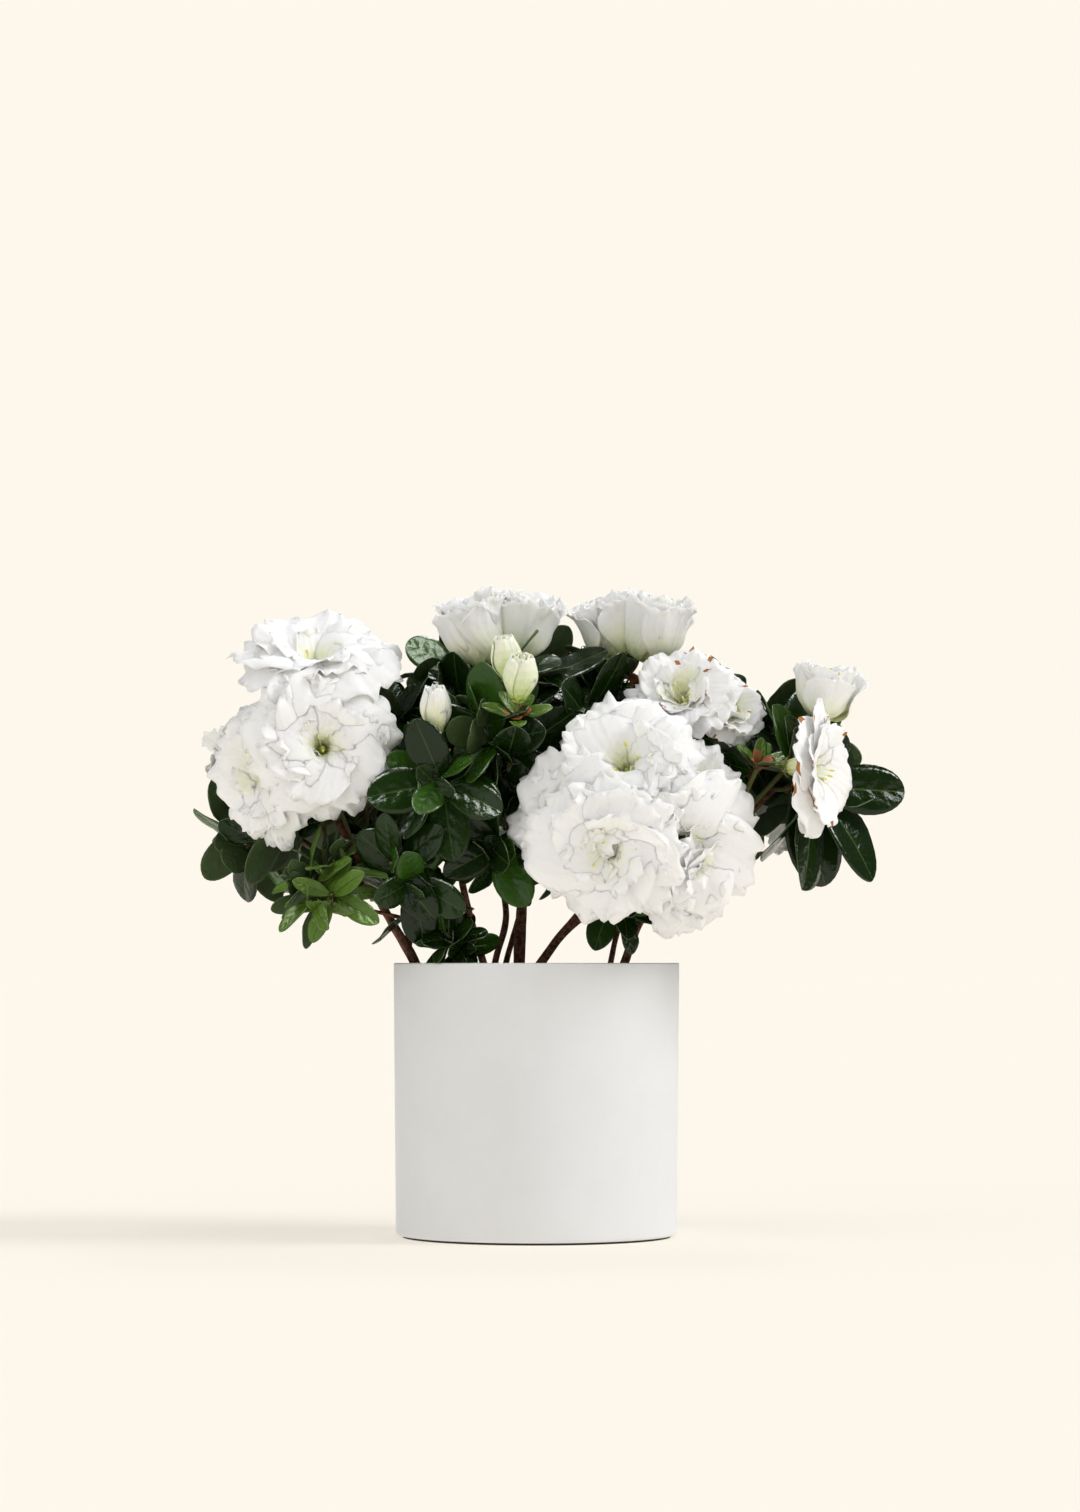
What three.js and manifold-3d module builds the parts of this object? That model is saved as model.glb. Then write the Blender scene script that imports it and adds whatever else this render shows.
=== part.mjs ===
// A florist's azalea in full flower, growing in a plain cylindrical ceramic pot.
// Millimetres, +Z up, -Y is the front. The origin is the centre of the pot's flat foot.
import * as THREE from "three";
import { mergeVertices } from "three/addons/utils/BufferGeometryUtils.js";
import Module from "manifold-3d";

const wasm = await Module();
wasm.setup();

// ---------------------------------------------------------------- driving sizes

const POT = {
  height: 124,
  rimRadius: 65,
  baseRadius: 63.8,
  wall: 5,
  floor: 8,
  edge: 2, // the rounding of the outer edges
  lip: 1, // the rounding inside the rim
  footInset: 5,
  foot: 1.5, // how far the body stands off the ground on its foot
};
const SOIL = { top: 104, dome: 3, level: 36 }; // it is level within 36 of the middle
const GAP = 0.3; // between pieces that touch on the real plant
const SLIVER = 0.05; // edges shorter than this are taken out of a joined solid
const GOLDEN = 2.39996; // the turn in radians from one leaf of a spiral to the next

const ROUND = 36; // sides of the pot
const LIMB_SIDES = 6;
const LIMB_STEPS = 4;
const TWIG_SIDES = 3;
const BUD_SIDES = 8;
const PETAL_SPOKES = 10; // two to each of the five outer petals

const FLARE = 0.35; // how much wider a stem is where it leaves the soil
const TWIG_RADIUS = 1.15;
const STALK = [1, 1]; // the radii of the stalk of one flower, at its foot and its bloom

// Leaves: a blade's width and fold are shares of its length.
const LEAF = { width: 0.52, fold: 0.1, droop: 0.14, thickness: 1.3, lean: [88, 42] };

const FINISHES = {
  ceramic: { color: 0xf1f0ec, roughness: 0.55, metalness: 0 },
  soil: { color: 0x3a2a20, roughness: 0.95, metalness: 0 },
  bark: { color: 0x5a3a2c, roughness: 0.85, metalness: 0 },
  leaf: { color: 0x1f3d1c, roughness: 0.35, metalness: 0 },
  young_leaf: { color: 0x4f7f2c, roughness: 0.45, metalness: 0 },
  petal: { color: 0xf6f5f0, roughness: 0.6, metalness: 0 },
  bud: { color: 0xdfe6b4, roughness: 0.6, metalness: 0 },
};

// Stems rise from the soil. A bough leaves its parent limb at a share `from` of the parent's length.
// Each goes through the points `via` and ends at the last one, with a radius at each end.
const LIMBS = {
  stem_far_left: {
    radii: [2.6, 1.5],
    via: [[-46, -4, 100], [-55, -6, 124], [-66, -10, 143], [-90, -16, 188]],
  },
  stem_left: {
    radii: [2.1, 1.3],
    via: [[-20, -12, 100], [-30, -18, 124], [-43, -26, 144], [-58, -30, 168]],
  },
  stem_centre_left: {
    radii: [1.9, 1.2],
    via: [[-17, -18, 100], [-24, -22, 124], [-32, -29, 154], [-40, -36, 202]],
  },
  stem_back_left: {
    radii: [1.7, 1.2],
    via: [[-22, 10, 100], [-19, 10, 124], [-14, 13, 148], [-34, 44, 204]],
  },
  stem_back: { radii: [1.5, 1.1], via: [[-19, 18, 100], [-14, 18, 124], [-9, 21, 142], [8, 56, 196]] },
  stem_main: { radii: [2.9, 1.7], via: [[-9, 0, 100], [-8, -1, 124], [-6, -3, 158], [0, -4, 228]] },
  stem_right: {
    radii: [2.4, 1.5],
    via: [[-12, -6, 100], [2, -12, 124], [15, -18, 141], [48, -26, 178]],
  },
  stem_far_right: {
    radii: [2.1, 1.3],
    via: [[31, 0, 100], [40, -3, 124], [49, -8, 146], [107, -20, 202]],
  },
  stem_back_right: {
    radii: [1.4, 1.0],
    via: [[30, 10, 100], [34, 13, 124], [40, 22, 146], [72, 54, 198]],
  },
  bough_left_inner: {
    on: "stem_far_left", from: 0.33,
    radii: [1.7, 1.1],
    via: [[-57, -3, 154], [-58, 8, 210]],
  },
  bough_left_outer: {
    on: "stem_far_left", from: 0.68,
    radii: [1.3, 0.9],
    via: [[-98, 2, 174], [-118, 20, 188]],
  },
  bough_low_left: {
    on: "stem_left", from: 0.5,
    radii: [1.1, 0.8],
    via: [[-60, -36, 144], [-82, -38, 149]],
  },
  bough_back_left: {
    on: "stem_back_left", from: 0.62,
    radii: [1.3, 0.9],
    via: [[-54, 40, 188], [-76, 46, 198]],
  },
  bough_top_right: { on: "stem_main", from: 0.7, radii: [1.5, 1.0], via: [[14, 1, 218], [34, 9, 241]] },
  bough_centre: {
    on: "stem_main", from: 0.34,
    radii: [1.2, 0.9],
    via: [[-10, -18, 168], [-15, -32, 178]],
  },
  bough_front: {
    on: "stem_main", from: 0.58,
    radii: [1.4, 1.0],
    via: [[-8, -22, 200], [-11, -34, 222]],
  },
  bough_top_left: { on: "stem_main", from: 0.8, radii: [1.4, 1.0], via: [[-12, 0, 224], [-24, 4, 244]] },
  bough_low_right: {
    on: "stem_right", from: 0.36,
    radii: [1.0, 0.8],
    via: [[20, -28, 143], [32, -36, 149]],
  },
  bough_low_centre: {
    on: "stem_left", from: 0.36,
    radii: [1.0, 0.8],
    via: [[-35, -26, 129], [-37, -33, 131]],
  },
  bough_right_inner: {
    on: "stem_right", from: 0.82,
    radii: [1.3, 1.0],
    via: [[56, -20, 196], [68, -14, 222]],
  },
  bough_right_outer: {
    on: "stem_far_right", from: 0.6,
    radii: [1.3, 0.9],
    via: [[88, 6, 194], [106, 18, 222]],
  },
  bough_back_right: {
    on: "stem_back_right", from: 0.55,
    radii: [1.1, 0.9],
    via: [[50, 62, 174], [42, 80, 184]],
  },
};

// A mass of leaves grows on from a limb's tip: `shoots` twigs fan out within `spread` degrees of `aim`,
// `reach` long, each ending in a rosette of `leaves`, the largest of them `length` long.
const TYPICAL_MASS = { spread: 80, reach: 20, shoots: 4, leaves: 6, length: 37 };
const MASSES = {
  young_leaves_left: {
    on: "bough_low_left", aim: [-0.8, -0.2, 0.5],
    seed: 15, spread: 60, shoots: 6, length: 26, young: true,
  },
  leaves_front: { on: "bough_front", aim: [-0.6, -0.8, 0], seed: 22, spread: 60, reach: 13 },
  leaves_centre_left: {
    on: "stem_centre_left", aim: [-0.1, -0.9, 0.1],
    seed: 16, spread: 65, reach: 15,
  },
  leaves_centre: {
    on: "bough_centre", aim: [-0.1, -0.8, -0.1],
    seed: 31, spread: 75, reach: 13, length: 32,
  },
  leaves_far_right: {
    on: "stem_far_right", aim: [0.88, -0.5, 0.05],
    seed: 27, spread: 58, reach: 17, leaves: 9, length: 54,
  },
  leaves_low_right: {
    on: "bough_low_right", aim: [0.4, -0.5, 0.3],
    seed: 25, spread: 60, reach: 10, length: 25,
  },
  leaves_low_left: { on: "stem_left", aim: [0.1, -0.5, -0.2], seed: 14, reach: 17, length: 34 },
  leaves_low_centre: {
    on: "bough_low_centre", aim: [0.1, -0.6, 0.5],
    seed: 33, spread: 75, reach: 8, shoots: 3, length: 20,
  },
  leaves_left: { on: "stem_far_left", aim: [-0.5, 0.1, -0.1], seed: 11, spread: 95, reach: 22 },
  leaves_left_inner: { on: "bough_left_inner", aim: [0.2, -0.7, 0.6], seed: 12, reach: 24 },
  leaves_left_outer: { on: "bough_left_outer", aim: [-0.7, 0.6, -0.1], seed: 13, reach: 18 },
  leaves_top_left: { on: "bough_top_left", aim: [-0.5, -0.4, 0.5], seed: 23, reach: 18 },
  leaves_top: { on: "stem_main", aim: [0.1, -0.5, 0.8], seed: 20, reach: 26, leaves: 7 },
  leaves_top_right: { on: "bough_top_right", aim: [-0.5, -0.8, 0.2], seed: 21, reach: 17, length: 34 },
  leaves_right: { on: "stem_right", aim: [0.3, -0.6, 0], seed: 24, spread: 100, shoots: 5 },
  leaves_right_inner: { on: "bough_right_inner", aim: [0.4, -0.5, 0.4], seed: 26, reach: 18 },
  leaves_right_outer: { on: "bough_right_outer", aim: [0.5, 0.5, 0], seed: 28, reach: 18 },
  leaves_back_left: { on: "stem_back_left", aim: [0, 0.5, 0.8], seed: 17, reach: 24, leaves: 7 },
  leaves_far_back_left: { on: "bough_back_left", aim: [-0.5, 0.5, -0.5], seed: 18 },
  leaves_back: { on: "stem_back", aim: [-0.2, 0.8, -0.2], seed: 41, reach: 22, shoots: 5 },
  leaves_back_right: { on: "stem_back_right", aim: [0.5, 0.1, 0.7], seed: 29, reach: 22 },
  leaves_low_back: { on: "bough_back_right", aim: [0.1, 0.8, -0.2], seed: 30 },
};

// A truss of blooms leaves its limb a little short of the tip and divides into one flower stalk for
// each bloom. A bloom's `at` is the middle of its mouth, `aim` the way it faces, `radius` the mouth's,
// and `depth` runs from the mouth back to the stalk. A bud has no mouth: `at` is its tip.
const TRUSSES = {
  blooms_left: {
    on: "stem_far_left",
    seed: 51,
    blooms: [
      { at: [-94, -58, 221], aim: [0.1, -1, 0.1], radius: 32, depth: 24 },
      { at: [-128, -38, 208], aim: [-0.7, -0.65, -0.15], radius: 31, depth: 26 },
      { at: [-99, -30, 269], aim: [0.05, -0.5, 0.86], radius: 34, depth: 29 },
    ],
  },
  blooms_top_left: {
    on: "bough_top_left",
    seed: 52,
    blooms: [
      { at: [-31, -20, 290], aim: [-0.2, -0.2, 0.95], radius: 14.5, depth: 33 },
      { at: [-3, -8, 291], aim: [0.2, -0.1, 0.95], radius: 14.5, depth: 32 },
    ],
  },
  blooms_top_right: {
    on: "bough_top_right",
    seed: 53,
    blooms: [
      { at: [31, -4, 290], aim: [-0.2, -0.2, 0.95], radius: 12.5, depth: 28 },
      { at: [56, -8, 291], aim: [0.15, -0.2, 0.95], radius: 14.5, depth: 31 },
    ],
  },
  blooms_right_inner: {
    on: "bough_right_inner",
    seed: 54,
    blooms: [
      { at: [64, -47, 249], aim: [-0.22, -0.75, 0.6], radius: 24, depth: 24 },
      { at: [90, -42, 242], aim: [0.6, -0.65, 0.4], radius: 17, depth: 22 },
    ],
  },
  blooms_front: {
    on: "stem_right",
    seed: 55,
    blooms: [
      { at: [37, -78, 215], aim: [-0.2, -0.85, 0.45], radius: 32, depth: 25 },
      { at: [8, -78, 189], aim: [-0.65, -0.75, 0.05], radius: 28, depth: 24 },
      { at: [30, -94, 171], aim: [-0.1, -0.95, -0.25], radius: 31, depth: 26 },
      { at: [68, -82, 173], aim: [0.35, -0.9, -0.25], radius: 33, depth: 26 },
      { at: [77, -64, 204], aim: [0.6, -0.65, 0.45], radius: 24, depth: 22 },
      { at: [75, -68, 155], aim: [0.55, -0.6, -0.5], radius: 25, depth: 24 },
    ],
  },
  bloom_far_right: {
    on: "stem_far_right",
    seed: 56,
    blooms: [{ at: [134, -54, 209], aim: [0.93, -0.35, -0.1], radius: 28, depth: 27 }],
  },
  bloom_right_outer: {
    on: "stem_far_right",
    seed: 57,
    blooms: [{ at: [132, -32, 257], aim: [0.2, -0.2, 0.95], radius: 14.5, depth: 23 }],
  },
  bud_centre_left: {
    on: "stem_centre_left",
    seed: 58,
    blooms: [{ at: [-45, -60, 246], aim: [-0.05, -0.3, 0.95], radius: 7, depth: 22, bud: true }],
  },
  buds_front: {
    on: "bough_front",
    seed: 59,
    blooms: [
      { at: [-15, -60, 268], aim: [-0.2, -0.3, 0.93], radius: 7, depth: 22, bud: true },
      { at: [-6, -70, 259], aim: [0.1, -0.4, 0.9], radius: 8, depth: 22, bud: true },
    ],
  },
  blooms_back_left: {
    on: "bough_back_left",
    seed: 60,
    blooms: [
      { at: [-98, 72, 236], aim: [-0.4, 0.6, 0.7], radius: 28, depth: 24 },
      { at: [-60, 92, 222], aim: [0, 0.95, 0.3], radius: 29, depth: 24 },
      { at: [-112, 74, 200], aim: [-0.7, 0.65, -0.1], radius: 28, depth: 25 },
    ],
  },
  blooms_back: {
    on: "stem_back",
    seed: 61,
    blooms: [
      { at: [-8, 78, 258], aim: [-0.1, 0.5, 0.85], radius: 27, depth: 24 },
      { at: [28, 94, 236], aim: [0.2, 0.9, 0.4], radius: 28, depth: 24 },
    ],
  },
  blooms_back_right: {
    on: "stem_back_right",
    seed: 62,
    blooms: [
      { at: [100, 66, 240], aim: [0.4, 0.5, 0.75], radius: 27, depth: 24 },
      { at: [88, 98, 210], aim: [0.3, 0.95, 0.1], radius: 29, depth: 24 },
      { at: [128, 66, 206], aim: [0.9, 0.4, 0], radius: 27, depth: 24 },
    ],
  },
  bloom_left_outer: {
    on: "bough_left_outer",
    seed: 63,
    blooms: [{ at: [-138, 30, 236], aim: [-0.4, 0.15, 0.9], radius: 21, depth: 28 }],
  },
};

// ---------------------------------------------------------------- vectors and solids

const vector = ([x, y, z]) => new THREE.Vector3(x, y, z);
const unit = (xyz) => vector(xyz).normalize();
const along = (from, direction, distance) => from.clone().addScaledVector(direction, distance);

// The same run of numbers from 0 to 1 for the same seed.
function seeded(seed) {
  let state = seed >>> 0;
  return () => {
    state = (Math.imul(state, 1664525) + 1013904223) >>> 0;
    return state / 2 ** 32;
  };
}

// Two unit vectors square to a direction and to each other.
function squareTo(direction) {
  const level = new THREE.Vector3(0, 0, 1).cross(direction);
  if (level.lengthSq() < 1e-4) level.set(1, 0, 0);
  level.normalize();
  return [level, direction.clone().cross(level)];
}

// The direction that leans `lean` radians away from `axis`, `turn` radians round it.
function leaning(axis, lean, turn) {
  const [a, b] = squareTo(axis);
  const outward = a.multiplyScalar(Math.cos(turn)).addScaledVector(b, Math.sin(turn));
  return axis.clone().multiplyScalar(Math.cos(lean)).addScaledVector(outward, Math.sin(lean)).normalize();
}

function solidOf(geometry) {
  const bare = geometry.clone();
  bare.deleteAttribute("normal");
  bare.deleteAttribute("uv");
  const merged = mergeVertices(bare, 1e-4);
  return new wasm.Manifold(
    new wasm.Mesh({
      numProp: 3,
      vertProperties: new Float32Array(merged.attributes.position.array),
      triVerts: new Uint32Array(merged.index.array),
    }),
  );
}

function geometryOf(solid) {
  const mesh = solid.getMesh();
  const geometry = new THREE.BufferGeometry();
  geometry.setAttribute("position", new THREE.BufferAttribute(mesh.vertProperties, 3));
  geometry.setIndex(new THREE.BufferAttribute(mesh.triVerts, 1));
  geometry.computeVertexNormals();
  return geometry;
}

// A closed solid from points and the triangles between them.
function shell(points, triangles) {
  const geometry = new THREE.BufferGeometry().setFromPoints(points);
  geometry.setIndex(triangles.flat());
  return solidOf(geometry);
}

const joined = (solids) => solids.reduce((whole, next) => whole.add(next));

// What is left of a solid once a neighbour has been cut away, without any loose scrap.
function cutBy(solid, neighbour) {
  const scraps = solid.subtract(neighbour).simplify(SLIVER).decompose();
  return scraps.reduce((most, next) => (next.volume() > most.volume() ? next : most));
}

const clearOf = (solid, others) => others.every((other) => solid.minGap(other, 2 * GAP) > GAP);

// ---------------------------------------------------------------- kinds of piece

// A closed tube along a curve, tapering evenly, with an optional flare at its foot.
function taperedTube(curve, [footRadius, tipRadius], sides, steps, flare = 0) {
  const frames = curve.computeFrenetFrames(steps);
  const geometry = new THREE.CylinderGeometry(1, 1, 1, sides, steps);
  const position = geometry.attributes.position;
  for (let i = 0; i < position.count; i++) {
    const step = Math.round((position.getY(i) + 0.5) * steps);
    const share = step / steps;
    const radius = THREE.MathUtils.lerp(footRadius, tipRadius, share) * (step === 0 ? 1 + flare : 1);
    const point = curve.getPointAt(share);
    point.addScaledVector(frames.normals[step], position.getX(i) * radius);
    point.addScaledVector(frames.binormals[step], -position.getZ(i) * radius);
    position.setXYZ(i, point.x, point.y, point.z);
  }
  return solidOf(geometry);
}

// A limb's solid, and the sleeve round it that a piece growing on the limb keeps out of.
function limb(points, radii, flare) {
  const curve = new THREE.CatmullRomCurve3(points);
  const tip = curve.getPointAt(1);
  const beyond = along(tip, curve.getTangentAt(1), GAP);
  const longer = new THREE.CatmullRomCurve3([...points.slice(0, -1), beyond]);
  const wider = radii.map((radius) => radius + GAP);
  return {
    curve,
    tip,
    solid: taperedTube(curve, radii, LIMB_SIDES, LIMB_STEPS, flare),
    sleeve: taperedTube(longer, wider, LIMB_SIDES, LIMB_STEPS, flare),
  };
}

function twig(foot, tip, radii) {
  return taperedTube(new THREE.LineCurve3(foot, tip), radii, TWIG_SIDES, 1);
}

// One leaf: a thin blade of eight faces, widest past its middle, folded up a little along its midrib
// and drooping to its tip. It may start part of the way out from its root.
function leafBlade({ root, direction, face, length }, start = 0) {
  const side = direction.clone().cross(face);
  const place = (share, across, lift) =>
    along(root, direction, share * length)
      .addScaledVector(side, (across * length * LEAF.width) / 2)
      .addScaledVector(face, (Math.abs(across) * LEAF.fold - share ** 2 * LEAF.droop) * length + lift);
  const outline = [[start, 0], [0.55, 1], [1, 0], [0.55, -1]];
  const points = outline.map(([share, across]) => place(share, across, 0));
  const over = points.push(place(0.5, 0, LEAF.thickness / 2)) - 1;
  const under = points.push(place(0.5, 0, -LEAF.thickness / 2)) - 1;
  const faces = outline.flatMap((_, i) => {
    const next = (i + 1) % outline.length;
    return [[i, next, over], [next, i, under]];
  });
  return shell(points, faces);
}

// A double bloom as one lobed shell: the throat, a crest of inner petals, the wavy rim of the five
// outer petals, and the funnel underneath that runs back to the stalk. A wide bloom is flatter.
function openBloom({ at, aim, radius, depth }, random) {
  const axis = unit(aim);
  const [a, b] = squareTo(axis);
  const base = along(vector(at), axis, -depth);
  const place = (out, height, turn) =>
    along(base, axis, height * depth)
      .addScaledVector(a, out * radius * Math.cos(turn))
      .addScaledVector(b, out * radius * Math.sin(turn));
  const flatness = THREE.MathUtils.smoothstep(radius / depth, 0.6, 1.1);
  const wave = (height) => height * (random() - 0.5);
  const rings = [
    (turn) => place(0.42, 1.12 + wave(0.16), turn),
    (turn, notch) => place((notch ? 0.84 : 0.98) + wave(0.06), 1 - 0.16 * flatness + wave(0.22), turn),
    (turn) => place(0.55 - 0.12 * flatness, 0.42, turn),
  ];
  const points = [along(base, axis, 0.72 * depth), base];
  const [crest, rim, under] = rings.map((ring) => {
    const first = points.length;
    for (let j = 0; j < PETAL_SPOKES; j++) points.push(ring((2 * Math.PI * j) / PETAL_SPOKES, j % 2 === 0));
    return first;
  });
  const faces = [];
  for (let j = 0; j < PETAL_SPOKES; j++) {
    const next = (j + 1) % PETAL_SPOKES;
    faces.push([0, crest + j, crest + next], [1, under + next, under + j]);
    for (const [inner, outer] of [[crest, rim], [rim, under]])
      faces.push([inner + j, outer + j, outer + next], [inner + j, outer + next, inner + next]);
  }
  return { base, axis, solid: shell(points, faces) };
}

// A closed bud, widest below its middle.
function closedBud({ at, aim, radius, depth }) {
  const axis = unit(aim);
  const base = along(vector(at), axis, -depth);
  const profile = [[0, 0], [0.8, 0.16], [1, 0.42], [0.75, 0.78], [0, 1]];
  const outline = profile.map(([out, height]) => new THREE.Vector2(out * radius, height * depth));
  const geometry = new THREE.LatheGeometry(outline, BUD_SIDES);
  geometry.applyQuaternion(new THREE.Quaternion().setFromUnitVectors(new THREE.Vector3(0, 1, 0), axis));
  geometry.translate(base.x, base.y, base.z);
  return { base, axis, solid: solidOf(geometry) };
}

// A solid of revolution about Z.
function upright(profile) {
  const geometry = new THREE.LatheGeometry(profile.map(([r, z]) => new THREE.Vector2(r, z)), ROUND);
  return solidOf(geometry.rotateX(Math.PI / 2));
}

// ---------------------------------------------------------------- the pot and its soil

function pot() {
  const { height, rimRadius, baseRadius, wall, floor, edge, lip, footInset, foot } = POT;
  const corner = edge * (1 - Math.SQRT1_2);
  return upright([
    [0, 0],
    [baseRadius - footInset, 0],
    [baseRadius - footInset, foot],
    [baseRadius - edge, foot],
    [baseRadius - corner, foot + corner],
    [baseRadius, foot + edge],
    [rimRadius, height - edge],
    [rimRadius - corner, height - corner],
    [rimRadius - edge, height],
    [rimRadius - wall + lip, height],
    [rimRadius - wall, height - lip],
    [baseRadius - wall, floor],
    [0, floor],
  ]);
}

// The soil fills the pot to below its rim, and rises a little from the wall to the stems.
function soil() {
  const { height, rimRadius, baseRadius, wall, floor } = POT;
  const reach = (z) => THREE.MathUtils.mapLinear(z, floor, height, baseRadius, rimRadius) - wall - GAP;
  return upright([
    [0, floor + GAP],
    [reach(floor), floor + GAP],
    [reach(SOIL.top), SOIL.top - SOIL.dome],
    [SOIL.level, SOIL.top],
    [0, SOIL.top],
  ]);
}

// ---------------------------------------------------------------- the plant

const root = new THREE.Group();

function addNode(name, solid, finish) {
  const mesh = new THREE.Mesh(geometryOf(solid), new THREE.MeshStandardMaterial(FINISHES[finish]));
  mesh.name = name;
  root.add(mesh);
}

const potSolid = pot();
const soilSolid = soil();
addNode("pot", potSolid, "ceramic");
addNode("soil", soilSolid, "soil");

// A stem is cut off flat just above the soil that it grows from.
const GROUND_DEPTH = 20;
const ground = new THREE.BoxGeometry(2 * POT.rimRadius, 2 * POT.rimRadius, GROUND_DEPTH);
const groundSolid = solidOf(ground.translate(0, 0, SOIL.top + GAP - GROUND_DEPTH / 2));

const limbs = {};
for (const [name, { on, from, radii, via }] of Object.entries(LIMBS)) {
  const points = via.map(vector);
  if (on) points.unshift(limbs[on].curve.getPointAt(from));
  const made = limb(points, radii, on ? 0 : FLARE);
  made.solid = cutBy(made.solid, on ? limbs[on].sleeve : groundSolid);
  limbs[name] = made;
  addNode(name, made.solid, "bark");
}

// A truss's stem leaves its limb at this share of the limb's length and divides this far behind the blooms.
const TRUSS_FROM = 0.78;
const FORK_BEHIND = 10;
const TRUSS_STEM = [1.4, 1.3]; // radii at its foot and its fork
const KNOT_RADIUS = 1.8; // of the swelling where the stalks part
const SUNK = 2; // how far a stalk runs into its bloom

function truss({ on, seed, blooms }) {
  const random = seeded(seed);
  const parent = limbs[on];
  const heads = blooms.map((bloom) => (bloom.bud ? closedBud(bloom) : openBloom(bloom, random)));
  const fork = new THREE.Vector3();
  for (const { base, axis } of heads) fork.add(along(base, axis, -FORK_BEHIND).divideScalar(heads.length));
  const stalks = heads.map(({ base, axis }) => twig(fork, along(base, axis, SUNK), STALK));
  const stem = twig(parent.curve.getPointAt(TRUSS_FROM), fork, TRUSS_STEM);
  const knot = solidOf(new THREE.OctahedronGeometry(KNOT_RADIUS).translate(...fork));
  return cutBy(joined([stem, knot, ...stalks, ...heads.map(({ solid }) => solid)]), parent.sleeve);
}

const made = [potSolid, soilSolid, ...Object.values(limbs).map(({ solid }) => solid)];
for (const [name, parts] of Object.entries(TRUSSES)) {
  const solid = truss(parts);
  made.push(solid);
  addNode(name, solid, parts.blooms.every(({ bud }) => bud) ? "bud" : "petal");
}

// The shoots of a mass: the first carries straight on and the rest fan out round it.
function shootsOf({ aim, spread, reach, shoots }, fork, random) {
  return Array.from({ length: shoots }, (_, i) => {
    const lean = THREE.MathUtils.degToRad(spread) * Math.sqrt(i / (shoots - 1));
    const heading = leaning(unit(aim), lean, i * GOLDEN + 0.8 * random());
    const tip = along(fork, heading, reach * (0.75 + 0.4 * random()));
    return { heading, tip, turn: 2 * Math.PI * random() };
  });
}

// The rosette at a shoot's tip: the oldest leaves lean out furthest, sit lowest and are the longest.
const ROSETTE_DEPTH = 5;

function rosette({ heading, tip, turn }, { leaves, length }, random) {
  return Array.from({ length: leaves }, (_, k) => {
    const youth = k / (leaves - 1);
    const lean = THREE.MathUtils.degToRad(THREE.MathUtils.lerp(...LEAF.lean, youth) + 14 * (random() - 0.5));
    return {
      root: along(tip, heading, -1 - ROSETTE_DEPTH * (1 - youth)),
      direction: leaning(heading, lean, turn + k * GOLDEN),
      face: leaning(heading, lean - Math.PI / 2, turn + k * GOLDEN),
      length: length * (0.72 + 0.28 * Math.sqrt(1 - youth) + 0.12 * (random() - 0.5)),
    };
  });
}

// A mass keeps to a ball of its own. A twig or leaf that would leave it, touch another piece or close a
// ring isn't grown. Leaves of one mass are tested from where they are clear of their twig.
const FORK_SHARE = 0.3; // of the reach, from the limb's tip to where the shoots part
const BALL_MIDDLE = 0.6;
const BALL_LEAF = 0.8;
const CLEAR_FROM = 0.25;

function leafMass(mass, others) {
  const random = seeded(mass.seed);
  const parent = limbs[mass.on];
  const axis = unit(mass.aim);
  const foot = along(parent.tip, axis, -1);
  const fork = along(parent.tip, axis, FORK_SHARE * mass.reach);
  const middle = along(parent.tip, axis, BALL_MIDDLE * mass.reach);
  const inBall = (point) => point.distanceTo(middle) < mass.reach + BALL_LEAF * mass.length;
  const knot = solidOf(new THREE.OctahedronGeometry(KNOT_RADIUS).translate(...fork));
  let grown = twig(foot, fork, [1.3 * TWIG_RADIUS, 1.2 * TWIG_RADIUS]).add(knot);
  const blades = [];
  for (const shoot of shootsOf(mass, fork, random)) {
    const stem = twig(fork, shoot.tip, [TWIG_RADIUS, 0.8 * TWIG_RADIUS]);
    const leaves = rosette(shoot, mass, random);
    if (!inBall(shoot.tip) || !clearOf(stem, [...others, ...blades])) continue;
    grown = grown.add(stem);
    for (const leaf of leaves) {
      const solid = leafBlade(leaf);
      const blade = leafBlade(leaf, CLEAR_FROM);
      const tip = along(leaf.root, leaf.direction, leaf.length);
      if (!inBall(tip) || !clearOf(solid, [...others, parent.solid]) || !clearOf(blade, blades)) continue;
      const larger = grown.add(solid);
      if (larger.genus() > 0) continue;
      grown = larger;
      blades.push(blade);
    }
  }
  return cutBy(grown, parent.sleeve);
}

for (const [name, special] of Object.entries(MASSES)) {
  const mass = { ...TYPICAL_MASS, ...special };
  const solid = leafMass(mass, made.filter((other) => other !== limbs[mass.on].solid));
  made.push(solid);
  addNode(name, solid, mass.young ? "young_leaf" : "leaf");
}

export default root;
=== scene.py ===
# A florist's azalea in full flower, growing in a plain cylindrical ceramic pot. Blender 4.5.
# The object's own sizes are in millimetres, and its finished pieces are in metres.
import math

import bpy
import numpy as np
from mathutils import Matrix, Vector
from mathutils.bvhtree import BVHTree


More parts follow.
